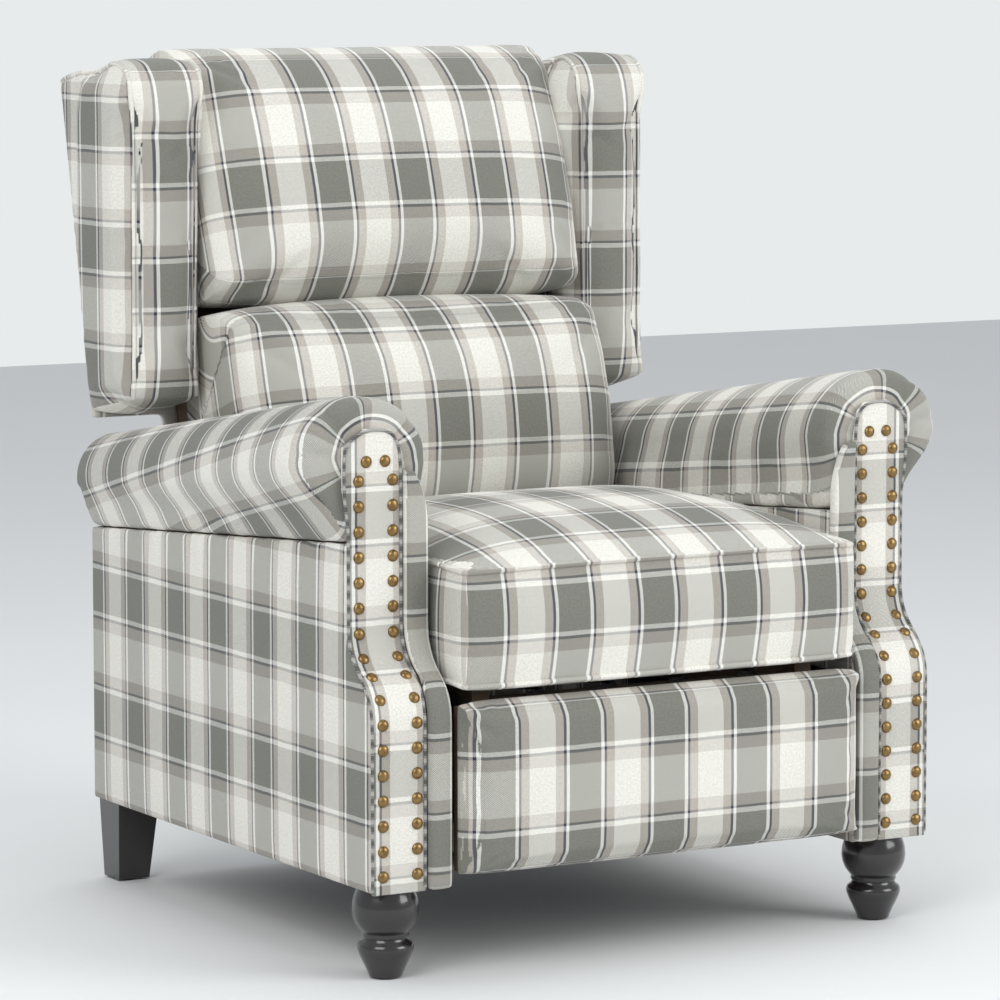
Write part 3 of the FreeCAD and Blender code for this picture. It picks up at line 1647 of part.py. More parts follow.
os.makedirs("parts", exist_ok=True)
for thing in sub_parts:
    thing.Shape.exportStep(f"parts/{thing.Label}.step")
    box = thing.Shape.BoundBox
    print(f"{thing.Label}: {len(thing.Shape.Solids)} solids, x {box.XMin:.1f} {box.XMax:.1f}, "
          f"y {box.YMin:.1f} {box.YMax:.1f}, z {box.ZMin:.1f} {box.ZMax:.1f}")
print(f"{len(sub_parts)} sub-parts")
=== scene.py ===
import math
import bpy
import numpy as np
from mathutils import Matrix, Vector
from mathutils.bvhtree import BVHTree


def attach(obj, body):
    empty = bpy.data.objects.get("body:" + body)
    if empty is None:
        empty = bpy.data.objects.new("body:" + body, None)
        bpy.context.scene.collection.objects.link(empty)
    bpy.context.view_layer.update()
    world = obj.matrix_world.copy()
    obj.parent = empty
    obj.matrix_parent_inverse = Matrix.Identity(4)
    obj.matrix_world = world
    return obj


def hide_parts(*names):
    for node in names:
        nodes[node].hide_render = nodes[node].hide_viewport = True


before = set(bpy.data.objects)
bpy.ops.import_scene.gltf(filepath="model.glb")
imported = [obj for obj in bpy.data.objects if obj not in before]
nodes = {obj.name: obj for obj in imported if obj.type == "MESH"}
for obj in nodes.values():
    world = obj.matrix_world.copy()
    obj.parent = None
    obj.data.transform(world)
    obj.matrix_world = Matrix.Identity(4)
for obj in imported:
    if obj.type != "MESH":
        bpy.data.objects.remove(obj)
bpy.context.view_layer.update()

bpy.ops.object.select_all(action="DESELECT")
print("frame loaded:", len(nodes), "pieces")


# the view
view = {
    "place": (-2.840, -4.9375, 1.133),
    "turn": (83.44, 0.0, -30.08),
    "lens": 173.4,
    "sensor": 36.0,
}


def makeCamera():
    bpy.ops.object.camera_add(location=view["place"], rotation=[math.radians(a) for a in view["turn"]])
    camera = bpy.context.object
    camera.name = "photoView"
    camera.data.lens = view["lens"]
    camera.data.sensor_width = view["sensor"]
    bpy.context.scene.camera = camera
    return camera


makeCamera()
print("camera set")


# materials
class Wire:
    # one output socket, so that shader maths reads like a sum
    def __init__(self, recipe, socket):
        self.recipe = recipe
        self.socket = socket

    def sums(self, operation, first, second):
        return self.recipe.node("ShaderNodeMath", {"operation": operation}, {0: first, 1: second})

    def __add__(self, other):
        return self.sums("ADD", self, other)

    def __radd__(self, other):
        return self.sums("ADD", other, self)

    def __sub__(self, other):
        return self.sums("SUBTRACT", self, other)

    def __rsub__(self, other):
        return self.sums("SUBTRACT", other, self)

    def __mul__(self, other):
        return self.sums("MULTIPLY", self, other)

    def __rmul__(self, other):
        return self.sums("MULTIPLY", other, self)

    def __truediv__(self, other):
        return self.sums("DIVIDE", self, other)


class Recipe:
    # one material and the nodes that make it
    def __init__(self, name):
        self.material = bpy.data.materials.new(name)
        self.material.use_nodes = True
        self.tree = self.material.node_tree
        self.shader = self.tree.nodes["Principled BSDF"]

    def node(self, kind, settings=None, sockets=None, out=0):
        made = self.tree.nodes.new(kind)
        for key, value in (settings or {}).items():
            if key == "stops":
                elements = made.color_ramp.elements
                while len(elements) < len(value):
                    elements.new(0.5)
                for element, (spot, colour) in zip(elements, value):
                    element.position = spot
                    element.color = (*colour, 1.0)
            elif key == "interpolation":
                made.color_ramp.interpolation = value
            else:
                setattr(made, key, value)
        for key, value in (sockets or {}).items():
            self.feed(made.inputs[key], value)
        return Wire(self, made.outputs[out])

    def feed(self, socket, value):
        if isinstance(value, Wire):
            self.tree.links.new(value.socket, socket)
        else:
            socket.default_value = value

    def fact(self, wire):
        return self.sumOf("FRACT", wire)

    def sumOf(self, operation, *values):
        return self.node("ShaderNodeMath", {"operation": operation}, dict(enumerate(values)))

    def mix(self, share, first, second, blend="MIX"):
        settings = {"data_type": "RGBA", "blend_type": blend}
        return self.node("ShaderNodeMix", settings, {0: share, 6: first, 7: second}, 2)

    def stripes(self, place, stops):
        return self.node("ShaderNodeValToRGB", {"interpolation": "CONSTANT", "stops": stops}, {0: place})

    def parts(self, vector):
        split = self.tree.nodes.new("ShaderNodeSeparateXYZ")
        self.feed(split.inputs[0], vector)
        return [Wire(self, socket) for socket in split.outputs]

    def noise(self, vector, scale, detail=2.0, roughness=0.5):
        sockets = {"Vector": vector, "Scale": scale, "Detail": detail, "Roughness": roughness}
        return self.node("ShaderNodeTexNoise", {}, sockets)

    def bump(self, height, distance, strength=1.0):
        sockets = {"Height": height, "Distance": distance, "Strength": strength}
        return self.node("ShaderNodeBump", {}, sockets)

    def finish(self, **values):
        for key, value in values.items():
            self.feed(self.shader.inputs[key.replace("_", " ")], value)
        return self.material


plaid = {
    "columns": 0.110,  # width of one repeat
    "rows": 0.148,  # height of one repeat
    "navy": (0.030, 0.034, 0.062),
    "white": (0.86, 0.85, 0.80),
    "gray": (0.205, 0.205, 0.178),
    "taupe": (0.50, 0.455, 0.405),
    "cream": (0.83, 0.81, 0.745),
}


def columnStops():
    width = plaid["columns"] * 1000
    runs = [("navy", 3.2), ("white", 4.0), ("gray", 40.8), ("white", 4.0), ("navy", 3.2),
            ("taupe", 10.4), ("cream", 34.0), ("taupe", 10.4)]
    return stopsOf(runs, width)


def rowStops():
    width = plaid["rows"] * 1000
    runs = [("navy", 3.2), ("white", 5.4), ("gray", 52.0), ("white", 5.4), ("navy", 3.2),
            ("taupe", 13.4), ("cream", 52.0), ("taupe", 13.4)]
    return stopsOf(runs, width)


def stopsOf(runs, width):
    stops = []
    spot = 0.0
    for colour, wide in runs:
        stops.append((spot / width, plaid[colour]))
        spot += wide
    return stops


def makePlaid(name, source):
    # source is "cloth" for the piece's own layer, or two axes of the object for a flat panel
    recipe = Recipe(name)
    if source == "cloth":
        laid = recipe.node("ShaderNodeUVMap", {"uv_map": "cloth"})
        across, along, _ = recipe.parts(laid)
    else:
        place = recipe.node("ShaderNodeTexCoord", {}, {}, 3)
        moved = recipe.node("ShaderNodeMapping", {}, {"Vector": place, "Location": source[2]})
        axes = recipe.parts(moved)
        across, along = axes[source[0]], axes[source[1]]
    flat = recipe.node("ShaderNodeCombineXYZ", {}, {0: across, 1: along})
    # the yarns wander a little, so no stripe is ruled
    wander = recipe.noise(flat, 26.0, 1.0) - 0.5
    column = recipe.fact((across + wander * 0.0012 + 0.0016) / plaid["columns"])
    row = recipe.fact((along + wander * 0.0015 + 0.0016) / plaid["rows"])
    warp = recipe.stripes(column, columnStops())
    weft = recipe.stripes(row, rowStops())
    # a twill: the warp lies on top over most of each diagonal
    diagonal = recipe.fact(across * 560.0 + along * 420.0)
    over = recipe.node("ShaderNodeMapRange", {"interpolation_type": "SMOOTHSTEP"},
                       {0: diagonal, 1: 0.50, 2: 0.78, 3: 0.88, 4: 0.12})
    woven = recipe.mix(over, weft, warp)
    # heather in the yarn, fine and coarse
    fine = recipe.noise(flat, 1100.0, 1.5)
    coarse = recipe.noise(flat, 420.0, 2.0)
    drift = recipe.noise(flat, 9.0, 2.0)
    shade = 0.42 + fine * 0.56 + coarse * 0.50 + (drift - 0.5) * 0.10
    tone = recipe.node("ShaderNodeCombineColor", {}, {0: shade, 1: shade, 2: shade})
    colour = recipe.mix(1.0, woven, tone, "MULTIPLY")
    rib = recipe.sumOf("SINE", diagonal * (2 * math.pi))
    height = rib * 0.35 + fine * 0.8 + coarse * 0.5
    recipe.finish(
        Base_Color=colour, Roughness=0.92 - coarse * 0.12, Normal=recipe.bump(height, 0.00035, 0.7),
        Sheen_Weight=0.18, Sheen_Roughness=0.45, Specular_IOR_Level=0.22,
    )
    return recipe.material


def makeLacquer():
    # legs: black gloss lacquer with a faint grain
    recipe = Recipe("blackLacquer")
    place = recipe.node("ShaderNodeTexCoord", {}, {}, 3)
    long = recipe.node("ShaderNodeMapping", {}, {"Vector": place, "Scale": (60.0, 60.0, 6.0)})
    grain = recipe.noise(long, 3.0, 4.0, 0.6)
    dust = recipe.noise(place, 45.0, 3.0)
    tone = recipe.mix(grain, (0.008, 0.007, 0.007, 1.0), (0.022, 0.019, 0.018, 1.0))
    recipe.finish(
        Base_Color=tone, Roughness=0.17 + dust * 0.13, Normal=recipe.bump(grain, 0.0004, 0.25),
        Coat_Weight=0.6, Coat_Roughness=0.08,
    )
    return recipe.material


def makeBrass():
    # nailheads: aged brass, darker in the hammered hollows
    recipe = Recipe("agedBrass")
    place = recipe.node("ShaderNodeTexCoord", {}, {}, 3)
    patina = recipe.noise(place, 160.0, 3.0, 0.6)
    dents = recipe.noise(place, 420.0, 1.0)
    tone = recipe.mix(patina, (0.070, 0.038, 0.016, 1.0), (0.46, 0.30, 0.12, 1.0))
    recipe.finish(
        Base_Color=tone, Metallic=0.94, Roughness=0.24 + patina * 0.22,
        Normal=recipe.bump(dents, 0.0006, 0.6),
    )
    return recipe.material


def makeSteel():
    recipe = Recipe("blackSteel")
    place = recipe.node("ShaderNodeTexCoord", {}, {}, 3)
    orange = recipe.noise(place, 900.0, 2.0)
    scuff = recipe.noise(place, 24.0, 5.0, 0.65)
    tone = recipe.mix(scuff, (0.012, 0.012, 0.013, 1.0), (0.050, 0.050, 0.052, 1.0))
    recipe.finish(
        Base_Color=tone, Metallic=0.55, Roughness=0.34 + scuff * 0.25,
        Normal=recipe.bump(orange, 0.0002, 0.5),
    )
    return recipe.material


def makeTimber():
    recipe = Recipe("sawnTimber")
    place = recipe.node("ShaderNodeTexCoord", {}, {}, 3)
    long = recipe.node("ShaderNodeMapping", {}, {"Vector": place, "Scale": (1.0, 9.0, 9.0)})
    rings = recipe.noise(long, 9.0, 5.0, 0.6)
    fibre = recipe.noise(long, 80.0, 3.0)
    tone = recipe.mix(rings, (0.085, 0.055, 0.034, 1.0), (0.19, 0.13, 0.085, 1.0))
    recipe.finish(Base_Color=tone, Roughness=0.62 + fibre * 0.2, Normal=recipe.bump(fibre, 0.0005, 0.4))
    return recipe.material


def makeNylon():
    recipe = Recipe("blackNylon")
    place = recipe.node("ShaderNodeTexCoord", {}, {}, 3)
    grain = recipe.noise(place, 700.0, 2.0)
    tone = recipe.mix(grain, (0.030, 0.030, 0.031, 1.0), (0.055, 0.055, 0.056, 1.0))
    recipe.finish(Base_Color=tone, Roughness=0.46 + grain * 0.12, Normal=recipe.bump(grain, 0.0001, 0.5))
    return recipe.material


def makeDarkCloth(name, low, high, threads):
    # dust cover and webbing: a dark cloth with crossed threads
    recipe = Recipe(name)
    place = recipe.node("ShaderNodeTexCoord", {}, {}, 3)
    across, along, up = recipe.parts(place)
    first = recipe.sumOf("SINE", (across + up * 0.5) * threads)
    second = recipe.sumOf("SINE", (along + up) * threads)
    weave = first * second * 0.5 + 0.5
    fuzz = recipe.noise(place, 300.0, 3.0)
    tone = recipe.mix(weave * 0.6 + fuzz * 0.4, low, high)
    recipe.finish(Base_Color=tone, Roughness=0.9 - fuzz * 0.1, Normal=recipe.bump(weave, 0.0003, 0.6))
    return recipe.material


clothPlaid = makePlaid("plaidCloth", "cloth")
panelPlaid = makePlaid("plaidPanel", (1, 2, (0.0, 0.268, -0.178)))
crossPlaid = makePlaid("plaidCross", (0, 2, (0.0309, 0.0, -0.2475)))
lacquer = makeLacquer()
brass = makeBrass()
steel = makeSteel()
timber = makeTimber()
nylon = makeNylon()
dustCloth = makeDarkCloth("dustCloth", (0.012, 0.012, 0.013, 1.0), (0.035, 0.035, 0.037, 1.0), 2400.0)
webbing = makeDarkCloth("webbingCloth", (0.055, 0.054, 0.05, 1.0), (0.15, 0.145, 0.135, 1.0), 1300.0)
print("materials made")


# workshop helpers
def only(piece):
    if bpy.context.object and bpy.context.object.mode != "OBJECT":
        bpy.ops.object.mode_set(mode="OBJECT")
    bpy.ops.object.select_all(action="DESELECT")
    piece.select_set(True)
    bpy.context.view_layer.objects.active = piece


def points(piece):
    flat = np.empty(len(piece.data.vertices) * 3)
    piece.data.vertices.foreach_get("co", flat)
    return flat.reshape(-1, 3)


def normals(piece):
    flat = np.empty(len(piece.data.vertices) * 3)
    piece.data.vertex_normals.foreach_get("vector", flat)
    return flat.reshape(-1, 3)


def movePoints(piece, spots):
    piece.data.vertices.foreach_set("co", spots.ravel())
    piece.data.update()


def applied(piece, kind, **settings):
    only(piece)
    made = piece.modifiers.new(kind.lower(), kind)
    for key, value in settings.items():
        setattr(made, key, value)
    bpy.ops.object.modifier_apply(modifier=made.name)


def copyNode(nodeName, pieceName):
    piece = bpy.data.objects.new(pieceName, nodes[nodeName].data.copy())
    bpy.context.scene.collection.objects.link(piece)
    only(piece)
    bpy.ops.object.mode_set(mode="EDIT")
    bpy.ops.mesh.select_all(action="SELECT")
    bpy.ops.mesh.remove_doubles(threshold=0.0001)
    bpy.ops.mesh.normals_make_consistent(inside=False)
    bpy.ops.object.mode_set(mode="OBJECT")
    return piece


def soften(piece, rounds):
    applied(piece, "SMOOTH", factor=0.5, iterations=rounds)


def bulk(nodeName, pieceName, care):
    # the padded form of a node, remeshed evenly and drawn in a little before it is filled
    piece = copyNode(nodeName, pieceName)
    applied(piece, "REMESH", mode="VOXEL", voxel_size=care["voxel"])
    soften(piece, care["soften"])
    if care["drawnIn"]:
        applied(piece, "DISPLACE", strength=-care["drawnIn"], mid_level=0.0)
    return piece


sheet = {
    "quality": 4, "mass": 0.25, "stretch": 12.0, "shear": 4.0, "bend": 0.4, "damping": 2.0,
    "hold": 4.0, "frames": 20,
}


def fill(piece, care, held):
    # cloth blown up from inside; held says how firmly each point stays, from 0 to 1
    rest = points(piece)
    only(piece)
    group = piece.vertex_groups.new(name="held")
    for index in np.nonzero(held > 0.02)[0]:
        group.add([int(index)], float(held[index]), "REPLACE")
    cloth = piece.modifiers.new("fill", "CLOTH")
    settings = cloth.settings
    settings.quality = sheet["quality"]
    settings.mass = sheet["mass"]
    settings.tension_stiffness = sheet["stretch"]
    settings.compression_stiffness = sheet["stretch"]
    settings.shear_stiffness = sheet["shear"]
    settings.bending_stiffness = sheet["bend"]
    settings.air_damping = sheet["damping"]
    settings.use_pressure = True
    settings.uniform_pressure_force = care["pressure"]
    settings.effector_weights.gravity = 0.0
    settings.vertex_group_mass = "held"
    settings.pin_stiffness = sheet["hold"]
    cloth.point_cache.frame_start = 1
    cloth.point_cache.frame_end = sheet["frames"]
    scene = bpy.context.scene
    for step in range(sheet["frames"]):
        scene.frame_set(step + 1)
    only(piece)
    bpy.ops.object.modifier_apply(modifier="fill")
    scene.frame_set(1)
    moved = points(piece) - rest
    far = np.linalg.norm(moved, axis=1, keepdims=True)
    limit = np.minimum(1.0, care["cap"] / np.maximum(far, 1e-9))
    movePoints(piece, rest + moved * limit)


def ramp(values, start, length):
    # rises from 0 at the start to 1 after the length
    return np.clip((values - start) / length, 0.0, 1.0)


def dome(values, middle, half, power):
    # 1 over most of a span and 0 at its ends
    return np.clip(1 - ((values - middle) / half) ** power, 0.0, 1.0)


def pinch(piece, lines, depth, width):
    # a seam draws the cloth in along a line
    spots = points(piece)
    inward = normals(piece)
    near = np.full(len(spots), 1e9)
    for line in lines:
        line = np.array(line)
        for first, second in zip(line, line[1:]):
            run = second - first
            share = np.clip(((spots - first) @ run) / (run @ run), 0.0, 1.0)
            gap = np.linalg.norm(spots - (first + share[:, None] * run), axis=1)
            near = np.minimum(near, gap)
    movePoints(piece, spots - inward * (depth * np.exp(-(near / width) ** 2))[:, None])


def layCloth(piece, pattern):
    # gives each face its place on the cloth, in metres across and along the yarns
    mesh = piece.data
    while mesh.uv_layers:
        mesh.uv_layers.remove(mesh.uv_layers[0])
    layer = mesh.uv_layers.new(name="cloth")
    corner = np.empty(len(mesh.loops), np.int32)
    mesh.loops.foreach_get("vertex_index", corner)
    count = np.empty(len(mesh.polygons), np.int32)
    mesh.polygons.foreach_get("loop_total", count)
    facing = np.empty(len(mesh.polygons) * 3)
    mesh.polygons.foreach_get("normal", facing)
    middle = np.empty(len(mesh.polygons) * 3)
    mesh.polygons.foreach_get("center", middle)
    face = np.repeat(np.arange(len(mesh.polygons)), count)
    spot = points(piece)[corner]
    across, along = pattern(spot, middle.reshape(-1, 3)[face], facing.reshape(-1, 3)[face])
    layer.data.foreach_set("uv", np.stack([across, along], axis=1).astype(np.float32).ravel())
    mesh.materials.clear()
    mesh.materials.append(clothPlaid)


def unroll(line):
    # length along a profile to the point nearest to each place
    line = np.array(line, float)
    start = line[:-1]
    run = line[1:] - start
    size = np.linalg.norm(run, axis=1)
    before = np.concatenate([[0.0], np.cumsum(size)[:-1]])

    def measure(first, second):
        first = np.atleast_1d(first)
        second = np.atleast_1d(second)
        best = np.full(len(first), 1e9)
        length = np.zeros(len(first))
        for index in range(len(run)):
            da = first - start[index, 0]
            db = second - start[index, 1]
            share = (da * run[index, 0] + db * run[index, 1]) / size[index] ** 2
            low = -9.0 if index == 0 else 0.0
            high = 9.0 if index == len(run) - 1 else 1.0
            share = np.clip(share, low, high)
            gap = (da - share * run[index, 0]) ** 2 + (db - share * run[index, 1]) ** 2
            closer = gap < best
            best = np.where(closer, gap, best)
            length = np.where(closer, before[index] + share * size[index], length)
        return length

    return measure


def gapTo(line, first, second):
    # how far each place is from a profile
    line = np.array(line, float)
    gap = np.full(len(first), 1e9)
    for start, end in zip(line, line[1:]):
        run = end - start
        da, db = first - start[0], second - start[1]
        share = np.clip((da * run[0] + db * run[1]) / (run @ run), 0.0, 1.0)
        gap = np.minimum(gap, np.hypot(da - share * run[0], db - share * run[1]))
    return gap


def rounded(line, rounds):
    # cuts the corners of a line, and keeps its ends
    line = [Vector(point) for point in line]
    for _ in range(rounds):
        cut = []
        for first, second in zip(line, line[1:]):
            cut += [first.lerp(second, 0.25), first.lerp(second, 0.75)]
        line = [line[0]] + cut[1:-1] + [line[-1]]
    return line


def spaced(line, step, closed):
    # the same line in even steps
    line = [Vector(point) for point in line]
    if closed:
        line = line + line[:1]
    lengths = [0.0]
    for first, second in zip(line, line[1:]):
        lengths.append(lengths[-1] + (second - first).length)
    count = max(2, int(lengths[-1] / step))
    spots = []
    at = 0
    for index in range(count if closed else count + 1):
        want = lengths[-1] * index / count
        while at < len(line) - 2 and lengths[at + 1] < want:
            at += 1
        run = lengths[at + 1] - lengths[at]
        spots.append(line[at].lerp(line[at + 1], (want - lengths[at]) / max(run, 1e-9)))
    return spots


def settle(line, carrier, lift):
    # lays a line on the surface of the piece that carries it
    tree = BVHTree.FromObject(carrier, bpy.context.evaluated_depsgraph_get())
    laid = []
    for spot in line:
        near, facing, _, _ = tree.find_nearest(spot)
        laid.append(near + facing * lift)
    return laid


def tube(name, line, radius, closed):
    curve = bpy.data.curves.new(name, "CURVE")
    curve.dimensions = "3D"
    curve.bevel_depth = radius
    curve.bevel_resolution = 2
    curve.use_fill_caps = not closed
    spline = curve.splines.new("POLY")
    spline.points.add(len(line) - 1)
    for point, spot in zip(spline.points, line):
        point.co = (*spot, 1.0)
    spline.use_cyclic_u = closed
    piece = bpy.data.objects.new(name, curve)
    bpy.context.scene.collection.objects.link(piece)
    only(piece)
    bpy.ops.object.convert(target="MESH")
    piece = bpy.context.object
    bpy.ops.object.shade_smooth()
    return piece


def join(name, pieces):
    bpy.ops.object.select_all(action="DESELECT")
    for piece in pieces:
        piece.select_set(True)
    bpy.context.view_layer.objects.active = pieces[0]
    bpy.ops.object.join()
    made = bpy.context.object
    made.name = name
    made.data.name = name
    return made


def eased(line, closed):
    # takes the kinks out of a laid line
    for _ in range(3):
        before = [line[-1 if closed else 0]] + line[:-1]
        after = line[1:] + [line[0 if closed else -1]]
        line = [a * 0.25 + b * 0.5 + c * 0.25 for a, b, c in zip(before, line, after)]
    return line


def welt(name, line, carrier, pattern, body, closed=False, radius=0.0032, lift=0.0012):
    # piping: the same cloth over a cord, sewn into a seam
    path = spaced(line, 0.007, closed)
    path = eased(settle(path, carrier, lift), closed)
    piece = tube(name, path, radius, closed)
    layCloth(piece, pattern)
    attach(piece, body)
    return piece


def smoothShade(piece, angle=None):
    only(piece)
    if angle is None:
        bpy.ops.object.shade_smooth()
    else:
        bpy.ops.object.shade_smooth_by_angle(angle=math.radians(angle))


# seat cushion
cushion = {
    "voxel": 0.007, "soften": 8, "drawnIn": 0.006, "pressure": 4.0, "cap": 0.022,
    "half": 0.265, "front": -0.4155, "rear": 0.0775, "lowWelt": 0.322, "highWelt": 0.459,
    "corner": 0.026, "navyColumn": -0.0405, "navyRow": 0.374, "sideShift": 0.02,
    "seam": 0.008, "seamHalf": 0.235, "seamFront": -0.3855, "seamRear": 0.05,
    "bottom": 0.326, "restFrom": 0.066, "pinch": 0.0035, "pinchWidth": 0.007,
    # how far the top, the front's lower lip and the front's middle are filled out
    "crown": 0.019, "lip": 0.009, "swell": 0.004, "full": 0.262,
}


def cushionPattern(spot, middle, facing):
    x, y, z = spot.T
    top = middle[:, 2] > cushion["highWelt"] + 0.001
    bottom = (middle[:, 2] < cushion["lowWelt"]) & (facing[:, 2] < -0.5)
    side = ~top & ~bottom & (np.abs(facing[:, 0]) > np.abs(facing[:, 1]))
    over = y - cushion["front"] + cushion["highWelt"] - cushion["navyRow"]
    along = np.where(top, over, z - cushion["navyRow"])
    along = np.where(bottom, y, along)
    return np.where(side, y + cushion["sideShift"], x - cushion["navyColumn"]), along


def boxLine(care, up):
    # the outline of a box cushion with round corners
    corner = care["corner"]
    x, low, high = care["half"] - corner, care["front"] + corner, care["rear"] - corner
    line = []
    for cx, cy, start in ((x, low, -90), (x, high, 0), (-x, high, 90), (-x, low, 180)):
        for step in range(7):
            turn = math.radians(start + 15 * step)
            line.append(Vector((cx + corner * math.cos(turn), cy + corner * math.sin(turn), up)))
    return line


def makeCushion():
    piece = bulk("seat_cushion", "seatCushion", cushion)
    x, y, z = points(piece).T
    seam = np.minimum(np.abs(z - cushion["highWelt"]), np.abs(z - cushion["lowWelt"]))
    edge = np.maximum(cushion["seamFront"] - y, y - cushion["seamRear"])
    edge = np.maximum(np.abs(x) - cushion["seamHalf"], edge)
    held = np.where((seam < cushion["seam"]) & (edge > 0), 1.0, 0.0)
    held = np.where(z < cushion["bottom"], 1.0, held)
    held = np.where(y > cushion["restFrom"], np.maximum(held, 0.5), held)
    fill(piece, cushion, held)
    soften(piece, 2)
    spots = points(piece)
    x, y, z = spots.T
    full = cushion["full"]
    z += cushion["crown"] * dome(x, 0.0, full, 4) * dome(y, -0.17, 0.246, 4) * ramp(z, 0.44, 0.02)
    z -= cushion["lip"] * ramp(-y, 0.385, 0.02) * ramp(-z, -0.39, 0.06)
    y -= cushion["swell"] * ramp(-y, 0.40, 0.01) * dome(z, 0.392, 0.062, 2) * dome(x, 0.0, full, 6)
    movePoints(piece, spots)
    highLine = boxLine(cushion, cushion["highWelt"])
    lowLine = boxLine(cushion, cushion["lowWelt"])
    seams = [highLine + highLine[:1], lowLine + lowLine[:1]]
    pinch(piece, seams, cushion["pinch"], cushion["pinchWidth"])
    applied(piece, "SUBSURF", levels=1, render_levels=1)
    smoothShade(piece)
    layCloth(piece, cushionPattern)
    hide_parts("seat_cushion")
    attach(piece, "seat")
    welt("cushionTopWelt", highLine, piece, cushionPattern, "seat", True)
    welt("cushionBottomWelt", lowLine, piece, cushionPattern, "seat", True)
    return piece


# back bolsters
hinge = {"y": 0.2602, "z": 0.320, "lean": math.radians(11.0)}
bolster = {
    "voxel": 0.007, "soften": 8, "drawnIn": 0.008, "pressure": 4.0, "cap": 0.024,
    "navyColumn": -0.0155, "endFrom": 0.200, "endLength": 0.056, "wider": 0.020,
}
upper = {
    **bolster,
    "line": [(0.2095, 0.706), (0.1715, 0.730), (0.2145, 0.850),
             (0.2645, 1.000), (0.3095, 1.018), (0.3845, 1.003)],
    "anchor": (0.2014, 0.8134), "endDraw": 0.024,
}
lower = {
    **bolster,
    "line": [(0.1095, 0.400), (0.0875, 0.470), (0.0795, 0.518), (0.1145, 0.610),
             (0.1395, 0.700), (0.165, 0.712), (0.2095, 0.704)],
    "anchor": (0.0855, 0.5339), "endDraw": 0.030,
}


def bolsterPattern(care):
    line = rounded([(0.0, y, z) for y, z in care["line"]], 2)
    measure = unroll([(point.y, point.z) for point in line])
    start = measure(*care["anchor"])[0]

    def pattern(spot, middle, facing):
        x, y, z = spot.T
        # the stripes run on round the ends
        behind = gapTo(care["line"], y, z) * ramp(np.abs(x), care["endFrom"], 0.05)
        return x - care["navyColumn"] + np.sign(x) * behind, measure(y, z) - start

    return pattern


def depthOnBack(y, z):
    # how far behind the hinge's own plane a place lies
    return (y - hinge["y"]) * math.cos(hinge["lean"]) - (z - hinge["z"]) * math.sin(hinge["lean"])


def makeBolster(nodeName, pieceName, care):
    piece = bulk(nodeName, pieceName, care)
    x, y, z = points(piece).T
    held = np.where(depthOnBack(y, z) > -0.02, 1.0, 0.0)
    held = np.maximum(held, ramp(np.abs(x), 0.250, 0.006) * 0.8)
    fill(piece, care, held)
    soften(piece, 2)
    # the ends are drawn back towards the frame and reach the wings
    spots = points(piece)
    x, y, z = spots.T
    ends = 1 - np.sqrt(1 - ramp(np.abs(x), care["endFrom"], care["endLength"]) ** 2)
    back = ends * care["endDraw"] * ramp(-depthOnBack(y, z), 0.02, 0.10)
    y += back * math.cos(hinge["lean"])
    z -= back * math.sin(hinge["lean"])
    x *= 1 + care["wider"] * ends
    movePoints(piece, spots)
    applied(piece, "SUBSURF", levels=1, render_levels=1)
    smoothShade(piece)
    layCloth(piece, bolsterPattern(care))
    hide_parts(nodeName)
    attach(piece, "back")
    return piece


# footrest pad
footrest = {
    "voxel": 0.004, "soften": 5, "drawnIn": 0.002, "pressure": 4.0, "cap": 0.006, "taller": 0.003,
    "line": [(-0.3908, 0.110), (-0.4140, 0.113), (-0.4180, 0.130),
             (-0.4180, 0.290), (-0.4140, 0.306), (-0.3908, 0.3085)],
    "navyColumn": -0.0309, "navyRow": (-0.418, 0.2475), "heldFrom": -0.394,
}


def footrestPattern(spot, middle, facing):
    x, y, z = spot.T
    measure = unroll(footrest["line"])
    along = measure(y, z) - measure(*footrest["navyRow"])[0]
    end = np.abs(facing[:, 0]) > 0.75
    across = np.where(end, y, x - footrest["navyColumn"])
    return across, np.where(end, z - footrest["navyRow"][1], along)


def makeFootrest():
    piece = bulk("footrest_pad", "footrestPad", footrest)
    held = np.where(points(piece)[:, 1] > footrest["heldFrom"], 1.0, 0.0)
    fill(piece, footrest, held)
    soften(piece, 2)
    spots = points(piece)
    spots[:, 2] += footrest["taller"] * ramp(spots[:, 2], 0.285, 0.02)
    movePoints(piece, spots)
    applied(piece, "SUBSURF", levels=1, render_levels=1)
    smoothShade(piece)
    layCloth(piece, footrestPattern)
    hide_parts("footrest_pad")
    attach(piece, "footrest")
    return piece


# wings
wing = {
    "voxel": 0.005, "soften": 5, "drawnIn": 0.004, "pressure": 3.5, "cap": 0.010,
    "inner": 0.262, "outer": 0.357, "wider": 0.007, "inward": 0.009, "lap": 0.012,
    "line": [(0.330, 0.566), (0.214, 0.588), (0.213, 0.620), (0.213, 0.967),
             (0.226, 0.992), (0.258, 1.003), (0.410, 0.975)],
    # places of the navy stripes on the band and on the outer and inner cheeks
    "bandColumn": 0.3284, "bandRow": (0.213, 0.7643), "rowStep": 0.066,
    "cheekColumn": 0.284, "outerRow": 0.7413, "innerRow": 0.698,
}


def wingRise(up):
    return ramp(up, 0.57, 0.43)


